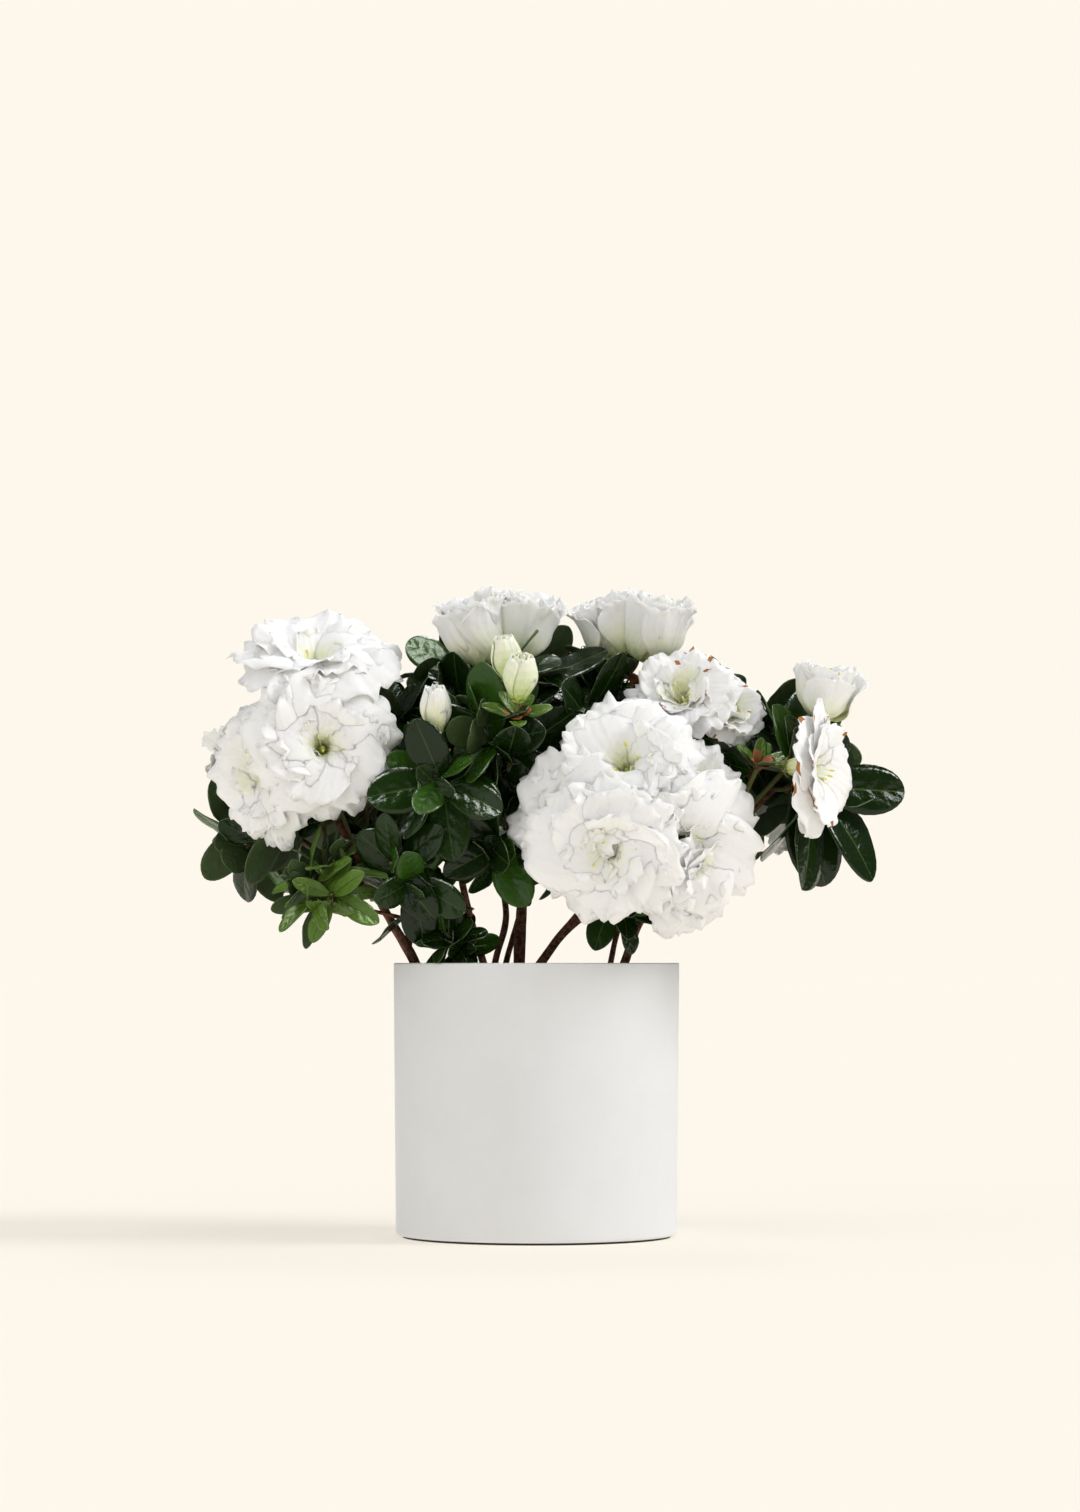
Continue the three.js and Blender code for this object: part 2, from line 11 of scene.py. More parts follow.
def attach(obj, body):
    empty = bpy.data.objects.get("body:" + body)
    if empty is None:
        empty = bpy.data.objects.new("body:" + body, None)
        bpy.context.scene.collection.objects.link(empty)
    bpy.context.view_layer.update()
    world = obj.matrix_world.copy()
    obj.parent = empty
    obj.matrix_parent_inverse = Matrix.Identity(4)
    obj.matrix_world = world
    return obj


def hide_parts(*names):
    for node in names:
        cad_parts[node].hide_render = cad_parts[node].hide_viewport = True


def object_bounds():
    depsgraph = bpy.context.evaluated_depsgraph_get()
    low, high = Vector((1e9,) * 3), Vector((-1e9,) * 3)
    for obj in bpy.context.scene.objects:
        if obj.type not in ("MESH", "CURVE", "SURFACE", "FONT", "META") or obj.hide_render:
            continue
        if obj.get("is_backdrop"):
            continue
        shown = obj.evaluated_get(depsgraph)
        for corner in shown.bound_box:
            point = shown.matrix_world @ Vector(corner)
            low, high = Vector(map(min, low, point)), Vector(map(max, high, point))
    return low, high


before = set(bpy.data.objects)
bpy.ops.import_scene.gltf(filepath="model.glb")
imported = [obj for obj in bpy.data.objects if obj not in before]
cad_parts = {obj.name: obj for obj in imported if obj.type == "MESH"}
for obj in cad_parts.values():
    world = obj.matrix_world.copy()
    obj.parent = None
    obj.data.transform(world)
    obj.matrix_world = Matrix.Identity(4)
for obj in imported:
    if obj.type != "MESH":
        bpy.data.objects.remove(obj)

cad_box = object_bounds()

# ------------------------------------------------------------------ camera
# A long lens level with the pot's rim, a little under two metres away and looking up slightly, so
# that the pot stands low in an upright frame.
CAMERA_PLACE = (0.0016, -1.87, 0.124)
CAMERA_LENS = 97.6
CAMERA_PITCH = 2.89

camera_data = bpy.data.cameras.new("camera")
camera_data.lens = CAMERA_LENS
camera_data.sensor_width = 36
camera_data.clip_end = 60
camera = bpy.data.objects.new("camera", camera_data)
camera.location = CAMERA_PLACE
camera.rotation_euler = (math.radians(90 + CAMERA_PITCH), 0, 0)
bpy.context.scene.collection.objects.link(camera)
bpy.context.scene.camera = camera

# ------------------------------------------------------------------ studio
# A cream floor that runs out of sight into a cream background. A broad key lights the plant from the
# right, weak lights reach it from above, behind and the left, and the pale room does the rest. Glossy
# leaves mirror dark walls with four softboxes.
CREAM = np.array([0.991, 0.939, 0.839])
ROOM = 0.575
MIRRORED_ROOM = 0.06
SOFTBOXES = [  # degrees to the right of the camera and above the horizon, half width in degrees, brightness
    ((-18, 52), 14, 22),
    ((72, 36), 13, 15),
    ((-80, 50), 12, 14),
    ((170, 60), 15, 17),
]
SOFTBOX_EDGE = 1.15  # where its light ends, as a share of its half width
SUNS = {  # strength, degrees to the right of the camera and above the horizon, how wide it is in degrees
    "key_light": (1.45, (80, 37), 22),
    "top_light": (0.2, (15, 78), 24),
    "back_light": (0.25, (165, 55), 14),
    "edge_light": (0.38, (-50, 10), 40),
}
FLOOR_RADIUS = 25
FLOOR_GLOW = 0.5  # the share of the floor's light that comes through it from below, as on a light table


class Value:
    """What comes out of a shader node. Python's operators on it add Math nodes."""

    def __init__(self, shading, socket):
        self.shading = shading
        self.socket = socket

    def maths(self, operation, *others):
        return self.shading.node("ShaderNodeMath", {"operation": operation}, dict(enumerate((self, *others))))

    def __add__(self, other):
        return self.maths("ADD", other)

    def __sub__(self, other):
        return self.maths("SUBTRACT", other)

    def __rsub__(self, other):
        return (self * -1) + other

    def __mul__(self, other):
        return self.maths("MULTIPLY", other)

    def __abs__(self):
        return self.maths("ABSOLUTE")

    def sine(self):
        return self.maths("SINE")

    def between(self, low, high):
        """0 below low, 1 above high, and a smooth step from one to the other."""
        settings = {"interpolation_type": "SMOOTHSTEP"}
        return self.shading.node("ShaderNodeMapRange", settings, {"Value": self, "From Min": low, "From Max": high})

    __radd__ = __add__
    __rmul__ = __mul__


class Shading:
    """The shader nodes of a material or of the world."""

    def __init__(self, owner):
        owner.use_nodes = True
        self.tree = owner.node_tree

    def feed(self, socket, value):
        if isinstance(value, Value):
            self.tree.links.new(value.socket, socket)
        elif socket.type == "RGBA":
            socket.default_value = (*value, 1)
        else:
            socket.default_value = value

    def node(self, kind, settings, sockets, output=0):
        made = self.tree.nodes.new(kind)
        for name, value in settings.items():
            setattr(made, name, value)
        for name, value in sockets.items():
            self.feed(made.inputs[name], value)
        return Value(self, made.outputs[output])


class Finish(Shading):
    """One material, made node by node round a Principled shader."""

    def __init__(self, name, **plain):
        self.material = bpy.data.materials.new(name)
        super().__init__(self.material)
        self.shader = self.tree.nodes["Principled BSDF"]
        self.set(**plain)

    def set(self, **sockets):
        for name, value in sockets.items():
            self.feed(self.shader.inputs[name.replace("_", " ").title().replace("Ior", "IOR")], value)

    def noise(self, size_mm, detail=3):
        """A noise from 0 to 1 whose lumps are about size_mm across, fixed to the object."""
        place = self.node("ShaderNodeTexCoord", {}, {}, "Object")
        sockets = {"Vector": place, "Scale": 1000 / size_mm, "Detail": detail, "Roughness": 0.55}
        return self.node("ShaderNodeTexNoise", {}, sockets)

    def mix(self, share, first, second):
        """A colour between two others, by the colour sockets of a Mix node."""
        return self.node("ShaderNodeMix", {"data_type": "RGBA"}, {0: share, 6: first, 7: second}, 2)

    def marks(self, axis):
        """Where a place lies on its own petal or leaf: X across it, Y along it."""
        drawn = self.node("ShaderNodeUVMap", {"uv_map": "marks"}, {})
        return self.node("ShaderNodeSeparateXYZ", {}, {0: drawn}, axis)

    def bump(self, height, depth_mm, strength):
        sockets = {"Height": height, "Distance": depth_mm / 1000, "Strength": strength}
        self.set(normal=self.node("ShaderNodeBump", {}, sockets))


def towards_light(angles):
    """The direction from the plant to a light."""
    turn, rise = map(math.radians, angles)
    return Vector((math.sin(turn) * math.cos(rise), -math.cos(turn) * math.cos(rise), math.sin(rise)))


for name, (strength, angles, spread) in SUNS.items():
    light = bpy.data.lights.new(name, "SUN")
    light.energy = strength
    light.angle = math.radians(spread)
    sun = bpy.data.objects.new(name, light)
    sun.rotation_euler = towards_light(angles).to_track_quat("Z", "Y").to_euler()
    bpy.context.scene.collection.objects.link(sun)

# What the camera sees past the floor is the cream of the lit floor, and the room's own light is dimmer.
world = bpy.data.worlds.new("studio")
bpy.context.scene.world = world
studio = Shading(world)
way = studio.node("ShaderNodeTexCoord", {}, {}, "Generated")
mirrored = MIRRORED_ROOM
for angles, half_width, brightness in SOFTBOXES:
    sockets = {0: way, 1: towards_light(angles)}
    towards = studio.node("ShaderNodeVectorMath", {"operation": "DOT_PRODUCT"}, sockets, "Value")
    edge, middle = (math.cos(math.radians(half_width * share)) for share in (SOFTBOX_EDGE, 1))
    sockets = {"Value": towards, "From Min": edge, "From Max": middle, "To Max": brightness}
    mirrored = studio.node("ShaderNodeMapRange", {}, sockets) + mirrored
shown = studio.node("ShaderNodeBackground", {}, {"Color": (ROOM, ROOM, ROOM)})
for ray, colour, strength in (("Is Glossy Ray", (1, 1, 1), mirrored), ("Is Camera Ray", CREAM, 1)):
    seen = studio.node("ShaderNodeBackground", {}, {"Color": colour, "Strength": strength})
    kind_of_ray = studio.node("ShaderNodeLightPath", {}, {}, ray)
    shown = studio.node("ShaderNodeMixShader", {}, {0: kind_of_ray, 1: shown, 2: seen})
studio.feed(studio.tree.nodes["World Output"].inputs["Surface"], shown)

# The rest of the floor's cream is its own colour under all the light that reaches it.
light_on_floor = ROOM + sum(strength / math.pi * towards_light(angles).z for strength, angles, _ in SUNS.values())
floor_colour = CREAM * (1 - FLOOR_GLOW) / light_on_floor
floor_finish = Finish("floor", base_color=floor_colour, roughness=1.0, specular_ior_level=0.0)
floor_finish.set(emission_color=CREAM, emission_strength=FLOOR_GLOW)
bpy.ops.mesh.primitive_circle_add(vertices=64, radius=FLOOR_RADIUS, fill_type="NGON")
floor = bpy.context.object
floor.name = "floor"
floor.data.materials.append(floor_finish.material)
floor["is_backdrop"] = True
bpy.context.scene.view_settings.view_transform = "Standard"

# ------------------------------------------------------------------ pot
# A slip-cast stoneware cylinder that tapers a little to its foot, with a rounded rim and a matt white
# glaze of the finest grain. Its set-in foot is painted near black as shade, standing in for the shadow
# in the gap under the pot, so that the body seems to float.
POT_HEIGHT = 124
POT_RIM = 65  # the radius at the rim, and next the one at the base
POT_BASE = 63.8
POT_WALL = 5
POT_FLOOR = 8
POT_EDGE = 1.6  # how far the edges are rounded: at the base, and next inside and outside the rim
POT_LIP = 1
RIM_EDGE = 0.8
FOOT_INSET = 3
FOOT_HEIGHT = 1
POT_SIDES = 160
ARC_STEPS = 6


class Heap:
    """The points, in millimetres, and the quads of one joined piece, each quad with its finish."""

    def __init__(self):
        self.points, self.quads, self.finishes, self.marks = [], [], [], []
        self.count = 0

    def add(self, points, quads, finish, marks=None):
        points = np.asarray(points, float).reshape(-1, 3)
        self.points.append(points)
        self.quads.append(quads + self.count)
        self.finishes.append(np.broadcast_to(finish, len(quads)))
        self.marks.append(np.zeros((len(points), 2)) if marks is None else marks.reshape(-1, 2))
        self.count += len(points)

    def piece(self, name, finishes, slot, replaced):
        points, quads = np.concatenate(self.points) / 1000, np.concatenate(self.quads)
        mesh = bpy.data.meshes.new(name)
        mesh.vertices.add(len(points))
        mesh.vertices.foreach_set("co", points.ravel())
        mesh.loops.add(quads.size)
        mesh.loops.foreach_set("vertex_index", quads.ravel())
        mesh.polygons.add(len(quads))
        mesh.polygons.foreach_set("loop_start", np.arange(0, quads.size, 4))
        mesh.polygons.foreach_set("material_index", np.concatenate(self.finishes).astype(np.int32))
        mesh.update(calc_edges=True)
        mesh.uv_layers.new(name="marks").data.foreach_set("uv", np.concatenate(self.marks)[quads.ravel()].ravel())
        mesh.shade_smooth()
        for finish in finishes:
            mesh.materials.append(finish.material)
        made = bpy.data.objects.new(name, mesh)
        bpy.context.scene.collection.objects.link(made)
        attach(made, "root")
        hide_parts(*replaced)


def tube_quads(rings, sides):
    """The quads of a closed tube of `rings` rings, with both ends capped. `sides` is even."""
    ring, side = np.meshgrid(np.arange(rings - 1), np.arange(sides), indexing="ij")
    here, beside = ring * sides + side, ring * sides + (side + 1) % sides
    walls = np.stack([here, beside, beside + sides, here + sides], axis=-1).reshape(-1, 4)
    steps = np.arange(1, sides - 2, 2)
    cap = np.stack([0 * steps, steps + 2, steps + 1, steps], axis=-1)
    return np.concatenate([walls, cap, cap[:, ::-1] + (rings - 1) * sides])


def arc(centre, radius, start, end):
    """Points (r, z) along part of a circle, between two angles in degrees from the +r direction."""
    turns = np.radians(np.linspace(start, end, ARC_STEPS))
    return [(centre[0] + radius * math.cos(t), centre[1] + radius * math.sin(t)) for t in turns]


def turned(profile, sides):
    """The rings of a shape turned about Z from a list of (r, z), from below."""
    turns = np.linspace(0, 2 * math.pi, sides, endpoint=False)
    return np.array([[(r * math.cos(t), r * math.sin(t), z) for t in turns] for r, z in profile])


def run(low, high, steps):
    """Points (r, z) evenly along a straight stretch of wall, without its ends."""
    return [tuple(np.array(low) + (np.array(high) - low) * k / steps) for k in range(1, steps)]


wall_low, wall_high = (POT_BASE, FOOT_HEIGHT + POT_EDGE), (POT_RIM, POT_HEIGHT - RIM_EDGE)
profile = [(POT_BASE - FOOT_INSET, 0.0), (POT_BASE - FOOT_INSET, FOOT_HEIGHT)]
profile += arc((POT_BASE - POT_EDGE, FOOT_HEIGHT + POT_EDGE), POT_EDGE, -90, 0)
profile += run(wall_low, wall_high, 12)
profile += arc((POT_RIM - RIM_EDGE, POT_HEIGHT - RIM_EDGE), RIM_EDGE, 0, 90)
profile += arc((POT_RIM - POT_WALL + POT_LIP, POT_HEIGHT - POT_LIP), POT_LIP, 90, 180)
profile += [(POT_BASE - POT_WALL, POT_FLOOR)]

glaze = Finish("matt_glaze", roughness=0.5, specular_ior_level=0.35)
grain = glaze.noise(0.7, detail=2)
cloud = glaze.noise(22, detail=4)
glaze.set(base_color=glaze.mix(cloud.between(0.3, 0.7), (0.78, 0.785, 0.8), (0.8, 0.805, 0.82)))
glaze.bump(grain, 0.05, 0.35)

pot = Heap()
rings = turned(profile, POT_SIDES)
quads = tube_quads(len(rings), POT_SIDES)
# The quads of the foot's wall and underside take finish 1, a painted shadow for the gap under the pot.
pot.add(rings, quads, np.all(quads < 2 * POT_SIDES, axis=1).astype(int))
# Painted shade: near black for the contact shadow under the pot, not the colour of the clay.
painted_shade_foot = Finish("painted_shade_foot", base_color=(0.03, 0.028, 0.026), roughness=0.9)
pot.piece("pot_body", [glaze, painted_shade_foot], "ceramic", ["pot"])

# ------------------------------------------------------------------ soil
# Moist peat mix, pressed in by hand to below the rim and a little higher round the stems, with loose
# crumbs of peat lying on it.
SOIL_TOP = 104
SOIL_DOME = 3
SOIL_GAP = 0.4  # to the pot
SOIL_RADIUS = POT_RIM - POT_WALL - SOIL_GAP
SOIL_RINGS = 40
SOIL_SIDES = 120
CRUMBS = 700
CRUMB_SIDES = 6
CRUMB_PROFILE = [(0.35, -0.8), (0.95, -0.35), (1, 0.3), (0.4, 0.8)]


def swell(places, size, seed):
    """A smooth uneven height between about -1 and 1 at each place, with lumps about `size` across."""
    waves = np.random.default_rng(seed)
    total = np.zeros(places.shape[:-1])
    for k in range(10):
        way = waves.normal(size=places.shape[-1])
        way /= np.linalg.norm(way)
        pitch = size * waves.uniform(0.6, 1.6)
        total += np.sin(places @ way * 2 * math.pi / pitch + waves.uniform(0, 2 * math.pi))
    return total / 4.5


soil = Heap()
radii = np.linspace(SOIL_RADIUS, 0.4, SOIL_RINGS)
soil_foot = (POT_BASE - POT_WALL - SOIL_GAP, POT_FLOOR + SOIL_GAP)
soil_rings = turned([soil_foot, *[(r, SOIL_TOP) for r in radii]], SOIL_SIDES)
surface = soil_rings[1:]
surface[..., 2] -= SOIL_DOME * (radii[:, None] / SOIL_RADIUS) ** 2
surface[..., 2] += 0.6 * swell(surface[..., :2], 14, 1) + 0.5 * swell(surface[..., :2], 5, 2) - 0.6
soil.add(soil_rings, tube_quads(len(soil_rings), SOIL_SIDES), 0)

random = np.random.default_rng(7)
crumb_rings = len(CRUMB_PROFILE)
for _ in range(CRUMBS):
    turn, out = random.uniform(0, 2 * math.pi), SOIL_RADIUS * math.sqrt(random.uniform(0, 0.93))
    lump = turned(CRUMB_PROFILE, CRUMB_SIDES) * random.uniform(0.4, 1.5)
    lump *= random.uniform(0.7, 1.25, size=(crumb_rings, CRUMB_SIDES, 1)) * random.uniform(0.7, 1.3, size=3)
    lump += (out * math.cos(turn), out * math.sin(turn), SOIL_TOP - 0.6 - SOIL_DOME * (out / SOIL_RADIUS) ** 2)
    soil.add(lump, tube_quads(crumb_rings, CRUMB_SIDES), 0)

peat = Finish("peat", roughness=0.95, specular_ior_level=0.2)
fleck = peat.noise(1.6, detail=5)
peat.set(base_color=peat.mix(fleck.between(0.35, 0.7), (0.018, 0.011, 0.007), (0.085, 0.052, 0.032)))
peat.bump(peat.noise(0.9, detail=4), 0.5, 0.8)
soil.piece("potting_mix", [peat], "soil", ["soil"])

# ------------------------------------------------------------------ stems and boughs
# Woody stems that rise from the soil and fork into boughs. The bark is thin, reddish brown and
# flaking, in fine upright strips. Each bough grows out of its parent limb at a share of its length.

# A limb has its radii at its foot and its tip, and the places that its middle line passes.
LIMBS = {
    "stem_far_left": {"radii": (2.6, 1.5), "via": [(-46, -4, 100), (-55, -6, 124), (-66, -10, 143), (-90, -16, 188)]},
    "stem_left": {"radii": (2.1, 1.3), "via": [(-20, -12, 100), (-30, -18, 124), (-43, -26, 144), (-58, -30, 168)]},
    "stem_centre_left": {
        "radii": (1.9, 1.2),
        "via": [(-17, -18, 100), (-24, -22, 124), (-32, -29, 154), (-40, -36, 202)],
    },
    "stem_back_left": {"radii": (1.7, 1.2), "via": [(-22, 10, 100), (-19, 10, 124), (-14, 13, 148), (-34, 44, 204)]},
    "stem_back": {"radii": (1.5, 1.1), "via": [(-19, 18, 100), (-14, 18, 124), (-9, 21, 142), (8, 56, 196)]},
    "stem_main": {"radii": (2.9, 1.7), "via": [(-9, 0, 100), (-8, -1, 124), (-6, -3, 158), (0, -4, 228)]},
    "stem_right": {"radii": (2.4, 1.5), "via": [(-12, -6, 100), (2, -12, 124), (15, -18, 141), (48, -26, 178)]},
    "stem_far_right": {"radii": (2.1, 1.3), "via": [(31, 0, 100), (40, -3, 124), (49, -8, 146), (107, -20, 202)]},
    "stem_back_right": {"radii": (1.4, 1.0), "via": [(30, 10, 100), (34, 13, 124), (40, 22, 146), (72, 54, 198)]},
    "bough_left_inner": {"on": ("stem_far_left", 0.33), "radii": (1.7, 1.1), "via": [(-57, -3, 154), (-58, 8, 210)]},
    "bough_left_outer": {"on": ("stem_far_left", 0.68), "radii": (1.3, 0.9), "via": [(-98, 2, 174), (-118, 20, 188)]},
    "bough_low_left": {"on": ("stem_left", 0.5), "radii": (1.1, 0.8), "via": [(-60, -36, 144), (-82, -38, 149)]},
    "bough_back_left": {"on": ("stem_back_left", 0.62), "radii": (1.3, 0.9), "via": [(-54, 40, 188), (-76, 46, 198)]},
    "bough_top_right": {"on": ("stem_main", 0.7), "radii": (1.5, 1.0), "via": [(14, 1, 218), (34, 9, 241)]},
    "bough_centre": {"on": ("stem_main", 0.34), "radii": (1.2, 0.9), "via": [(-10, -18, 168), (-15, -32, 178)]},
    "bough_front": {"on": ("stem_main", 0.58), "radii": (1.4, 1.0), "via": [(-8, -22, 200), (-11, -34, 222)]},
    "bough_top_left": {"on": ("stem_main", 0.8), "radii": (1.4, 1.0), "via": [(-12, 0, 224), (-24, 4, 244)]},
    "bough_low_right": {"on": ("stem_right", 0.36), "radii": (1.0, 0.8), "via": [(20, -28, 143), (32, -36, 149)]},
    "bough_low_centre": {"on": ("stem_left", 0.36), "radii": (1.0, 0.8), "via": [(-35, -26, 129), (-37, -33, 131)]},
    "bough_right_inner": {"on": ("stem_right", 0.82), "radii": (1.3, 1.0), "via": [(56, -20, 196), (68, -14, 222)]},
    "bough_right_outer": {"on": ("stem_far_right", 0.6), "radii": (1.3, 0.9), "via": [(88, 6, 194), (106, 18, 222)]},
    "bough_back_right": {"on": ("stem_back_right", 0.55), "radii": (1.1, 0.9), "via": [(50, 62, 174), (42, 80, 184)]},
}
FLARE = 0.35  # how much thicker a stem is where it leaves the soil
FLARE_HEIGHT = 6
LIMB_SIDES = 14
LIMB_STEP = 1.6  # from ring to ring
LINE_STEPS = 200


def unit(vector):
    return np.asarray(vector, float) / np.linalg.norm(vector)


def smooth_line(points, steps):
    """A smooth line through some points, as steps + 1 places at even distances along it."""
    points = np.array(points, float)
    points = np.vstack([2 * points[0] - points[1], points, 2 * points[-1] - points[-2]])
    share = np.linspace(0, 1, 40)[:, None]
    stretches = []
    for a, b, c, d in zip(points, points[1:], points[2:], points[3:]):
        before, here, after = (math.sqrt(np.linalg.norm(q - p)) for p, q in ((a, b), (b, c), (c, d)))
        leave = ((b - a) / before - (c - a) / (before + here) + (c - b) / here) * here
        arrive = ((c - b) / here - (d - b) / (here + after) + (d - c) / after) * here
        bend = 3 * (c - b) - 2 * leave - arrive
        turn = 2 * (b - c) + leave + arrive
        stretches.append(b + leave * share + bend * share**2 + turn * share**3)
    dense = np.vstack([stretch[:-1] for stretch in stretches] + [points[-2:-1]])
    far = np.concatenate([[0], np.cumsum(np.linalg.norm(np.diff(dense, axis=0), axis=1))])
    wanted = np.linspace(0, far[-1], steps + 1)
    return np.stack([np.interp(wanted, far, dense[:, k]) for k in range(3)], axis=1)


def square_to(direction):
    """Two unit vectors square to a direction and to each other."""
    level = np.cross((0, 0, 1), direction)
    level = unit(level) if level @ level > 1e-4 else np.array([1.0, 0, 0])
    return level, np.cross(direction, level)


def rings_along(line, radii, sides):
    """Rings round a line that don't twist. radii holds one radius for each place, or one for each point."""
    tangents = np.gradient(line, axis=0)
    tangents /= np.linalg.norm(tangents, axis=1)[:, None]
    across, _ = square_to(tangents[0])
    turns = np.linspace(0, 2 * math.pi, sides, endpoint=False)
    made = []
    for place, tangent, radius in zip(line, tangents, radii):
        across = unit(across - tangent * (across @ tangent))
        other = np.cross(tangent, across)
        radius = np.broadcast_to(radius, sides)[:, None]
        made.append(place + radius * (np.outer(np.cos(turns), across) + np.outer(np.sin(turns), other)))
    return np.array(made)


bark = Finish("bark", roughness=0.8, specular_ior_level=0.25)
strips = bark.noise(2.2, detail=5)
flakes = bark.noise(0.8, detail=3)
bark_colour = bark.mix(strips.between(0.35, 0.65), (0.05, 0.02, 0.012), (0.2, 0.085, 0.05))
bark.set(base_color=bark.mix(flakes.between(0.55, 0.8), bark_colour, (0.3, 0.17, 0.11)))
bark.bump(strips + flakes * 0.5, 0.35, 0.9)

wood = Heap()
lines = {}
for number, (name, limb) in enumerate(LIMBS.items()):
    points = list(limb["via"])
    if "on" in limb:
        parent, share = limb["on"]
        points.insert(0, tuple(lines[parent][round(share * (len(lines[parent]) - 1))]))
    lines[name] = line = smooth_line(points, LINE_STEPS)
    length = np.linalg.norm(np.diff(line, axis=0), axis=1).sum()
    rings = max(8, round(length / LIMB_STEP))
    line = smooth_line(points, rings - 1)
    share = np.linspace(0, 1, rings)
    radii = limb["radii"][0] + (limb["radii"][1] - limb["radii"][0]) * share
    if "on" not in limb:
        radii = radii * (1 + FLARE * np.exp(-share * length / FLARE_HEIGHT))
    circle = np.linspace(0, 2 * math.pi, LIMB_SIDES, endpoint=False)
    sheet = np.stack(np.meshgrid(share * length, circle * 2, indexing="ij"), axis=-1)
    relief = 1 + 0.06 * swell(sheet, 9, number) + 0.05 * swell(sheet * (0.25, 3), 7, number + 50)
    wood.add(rings_along(line, radii[:, None] * relief, LIMB_SIDES), tube_quads(rings, LIMB_SIDES), 0)
wood.piece("stems_and_boughs", [bark], "bark", list(LIMBS))

# ------------------------------------------------------------------ trusses of blooms
# Double blooms in trusses at the ends of the limbs: frilled white petals in several whorls round a
# yellow-green throat with a few stamens, each on a short green stalk with a small green calyx.

# A truss has its limb, and for each bloom the middle of its mouth, the way it faces, its radius and its depth.
TRUSSES = {
    "blooms_left": ("stem_far_left", [
        ((-94, -58, 221), (0.1, -1, 0.1), 32, 24),
        ((-128, -38, 208), (-0.7, -0.65, -0.15), 31, 26),
        ((-99, -30, 269), (0.05, -0.5, 0.86), 34, 29),
    ]),
    "blooms_top_left": ("bough_top_left", [
        ((-31, -20, 290), (-0.2, -0.2, 0.95), 14.5, 33),
        ((-3, -8, 291), (0.2, -0.1, 0.95), 14.5, 32),
    ]),
    "blooms_top_right": ("bough_top_right", [
        ((31, -4, 290), (-0.2, -0.2, 0.95), 12.5, 28),
        ((56, -8, 291), (0.15, -0.2, 0.95), 14.5, 31),
    ]),
    "blooms_right_inner": ("bough_right_inner", [
        ((64, -47, 249), (-0.22, -0.75, 0.6), 24, 24),
        ((90, -42, 242), (0.6, -0.65, 0.4), 17, 22),
    ]),
    "blooms_front": ("stem_right", [
        ((37, -78, 215), (-0.2, -0.85, 0.45), 32, 25),
        ((8, -78, 189), (-0.65, -0.75, 0.05), 28, 24),
        ((30, -94, 171), (-0.1, -0.95, -0.25), 31, 26),
        ((68, -82, 173), (0.35, -0.9, -0.25), 33, 26),
        ((77, -64, 204), (0.6, -0.65, 0.45), 24, 22),
        ((75, -68, 155), (0.55, -0.6, -0.5), 25, 24),
    ]),
    "bloom_far_right": ("stem_far_right", [((134, -54, 209), (0.93, -0.35, -0.1), 28, 27)]),
    "bloom_right_outer": ("stem_far_right", [((132, -32, 257), (0.2, -0.2, 0.95), 14.5, 23)]),
    "bud_centre_left": ("stem_centre_left", [((-45, -60, 246), (-0.05, -0.3, 0.95), 7, 22)]),
    "buds_front": ("bough_front", [
        ((-15, -60, 268), (-0.2, -0.3, 0.93), 7, 22),
        ((-6, -70, 259), (0.1, -0.4, 0.9), 8, 22),
    ]),
    "blooms_back_left": ("bough_back_left", [
        ((-98, 72, 236), (-0.4, 0.6, 0.7), 28, 24),
        ((-60, 92, 222), (0.0, 0.95, 0.3), 29, 24),
        ((-112, 74, 200), (-0.7, 0.65, -0.1), 28, 25),
    ]),
    "blooms_back": ("stem_back", [
        ((-8, 78, 258), (-0.1, 0.5, 0.85), 27, 24),
        ((28, 94, 236), (0.2, 0.9, 0.4), 28, 24),
    ]),
    "blooms_back_right": ("stem_back_right", [
        ((100, 66, 240), (0.4, 0.5, 0.75), 27, 24),
        ((88, 98, 210), (0.3, 0.95, 0.1), 29, 24),
        ((128, 66, 206), (0.9, 0.4, 0.0), 27, 24),
    ]),
    "bloom_left_outer": ("bough_left_outer", [((-138, 30, 236), (-0.4, 0.15, 0.9), 21, 28)]),
}
BUDS = ("bud_centre_left", "buds_front")
SOUND = 9  # no petal's margin is brown, and the lower the number, the more of the margins is
WITHERED = {"bloom_far_right": 0.85, "blooms_right_inner": 1.2}
TRUSS_FROM = 0.78  # where on its limb a truss's stalk starts
FORK_BEHIND = 10
STALK_RADIUS = 0.95
CALYX_LOBES, BRACTS = 5, 4
CALYX_SIZE, BUD_CALYX_SIZE, BRACT_SIZE = 4.5, 3.5, 6
OVARY_SPAN, OVARY_RADII = (0.08, 0.5), (3.1, 0.6)  # from foot to tip, the span as shares of the bloom's depth
STAMENS = 3
FILAMENT_RADII, ANTHER_RADII = (0.28, 0.2), (0.55, 0.5)

PETAL_THICKNESS, SCALE_THICKNESS = 0.28, 0.4
BUD_PETALS = (1, 1, 0.95, 0.78, 0.72, 0.55, 0.4, 0.22)  # shares of the bud's radius, from outside
BUD_TURN = 2.4  # radians from each petal to the next
BUD_FADE = 1.1
BUD_GRID = (14, 15)  # rows and columns
CALYX_GRID = (5, 7)
TONES = 6  # from the green of the throat to white
WITHERED_TONE = TONES
FULL_SIZE = 29  # of the bloom, in mm, that the whorls' ruffles are given for

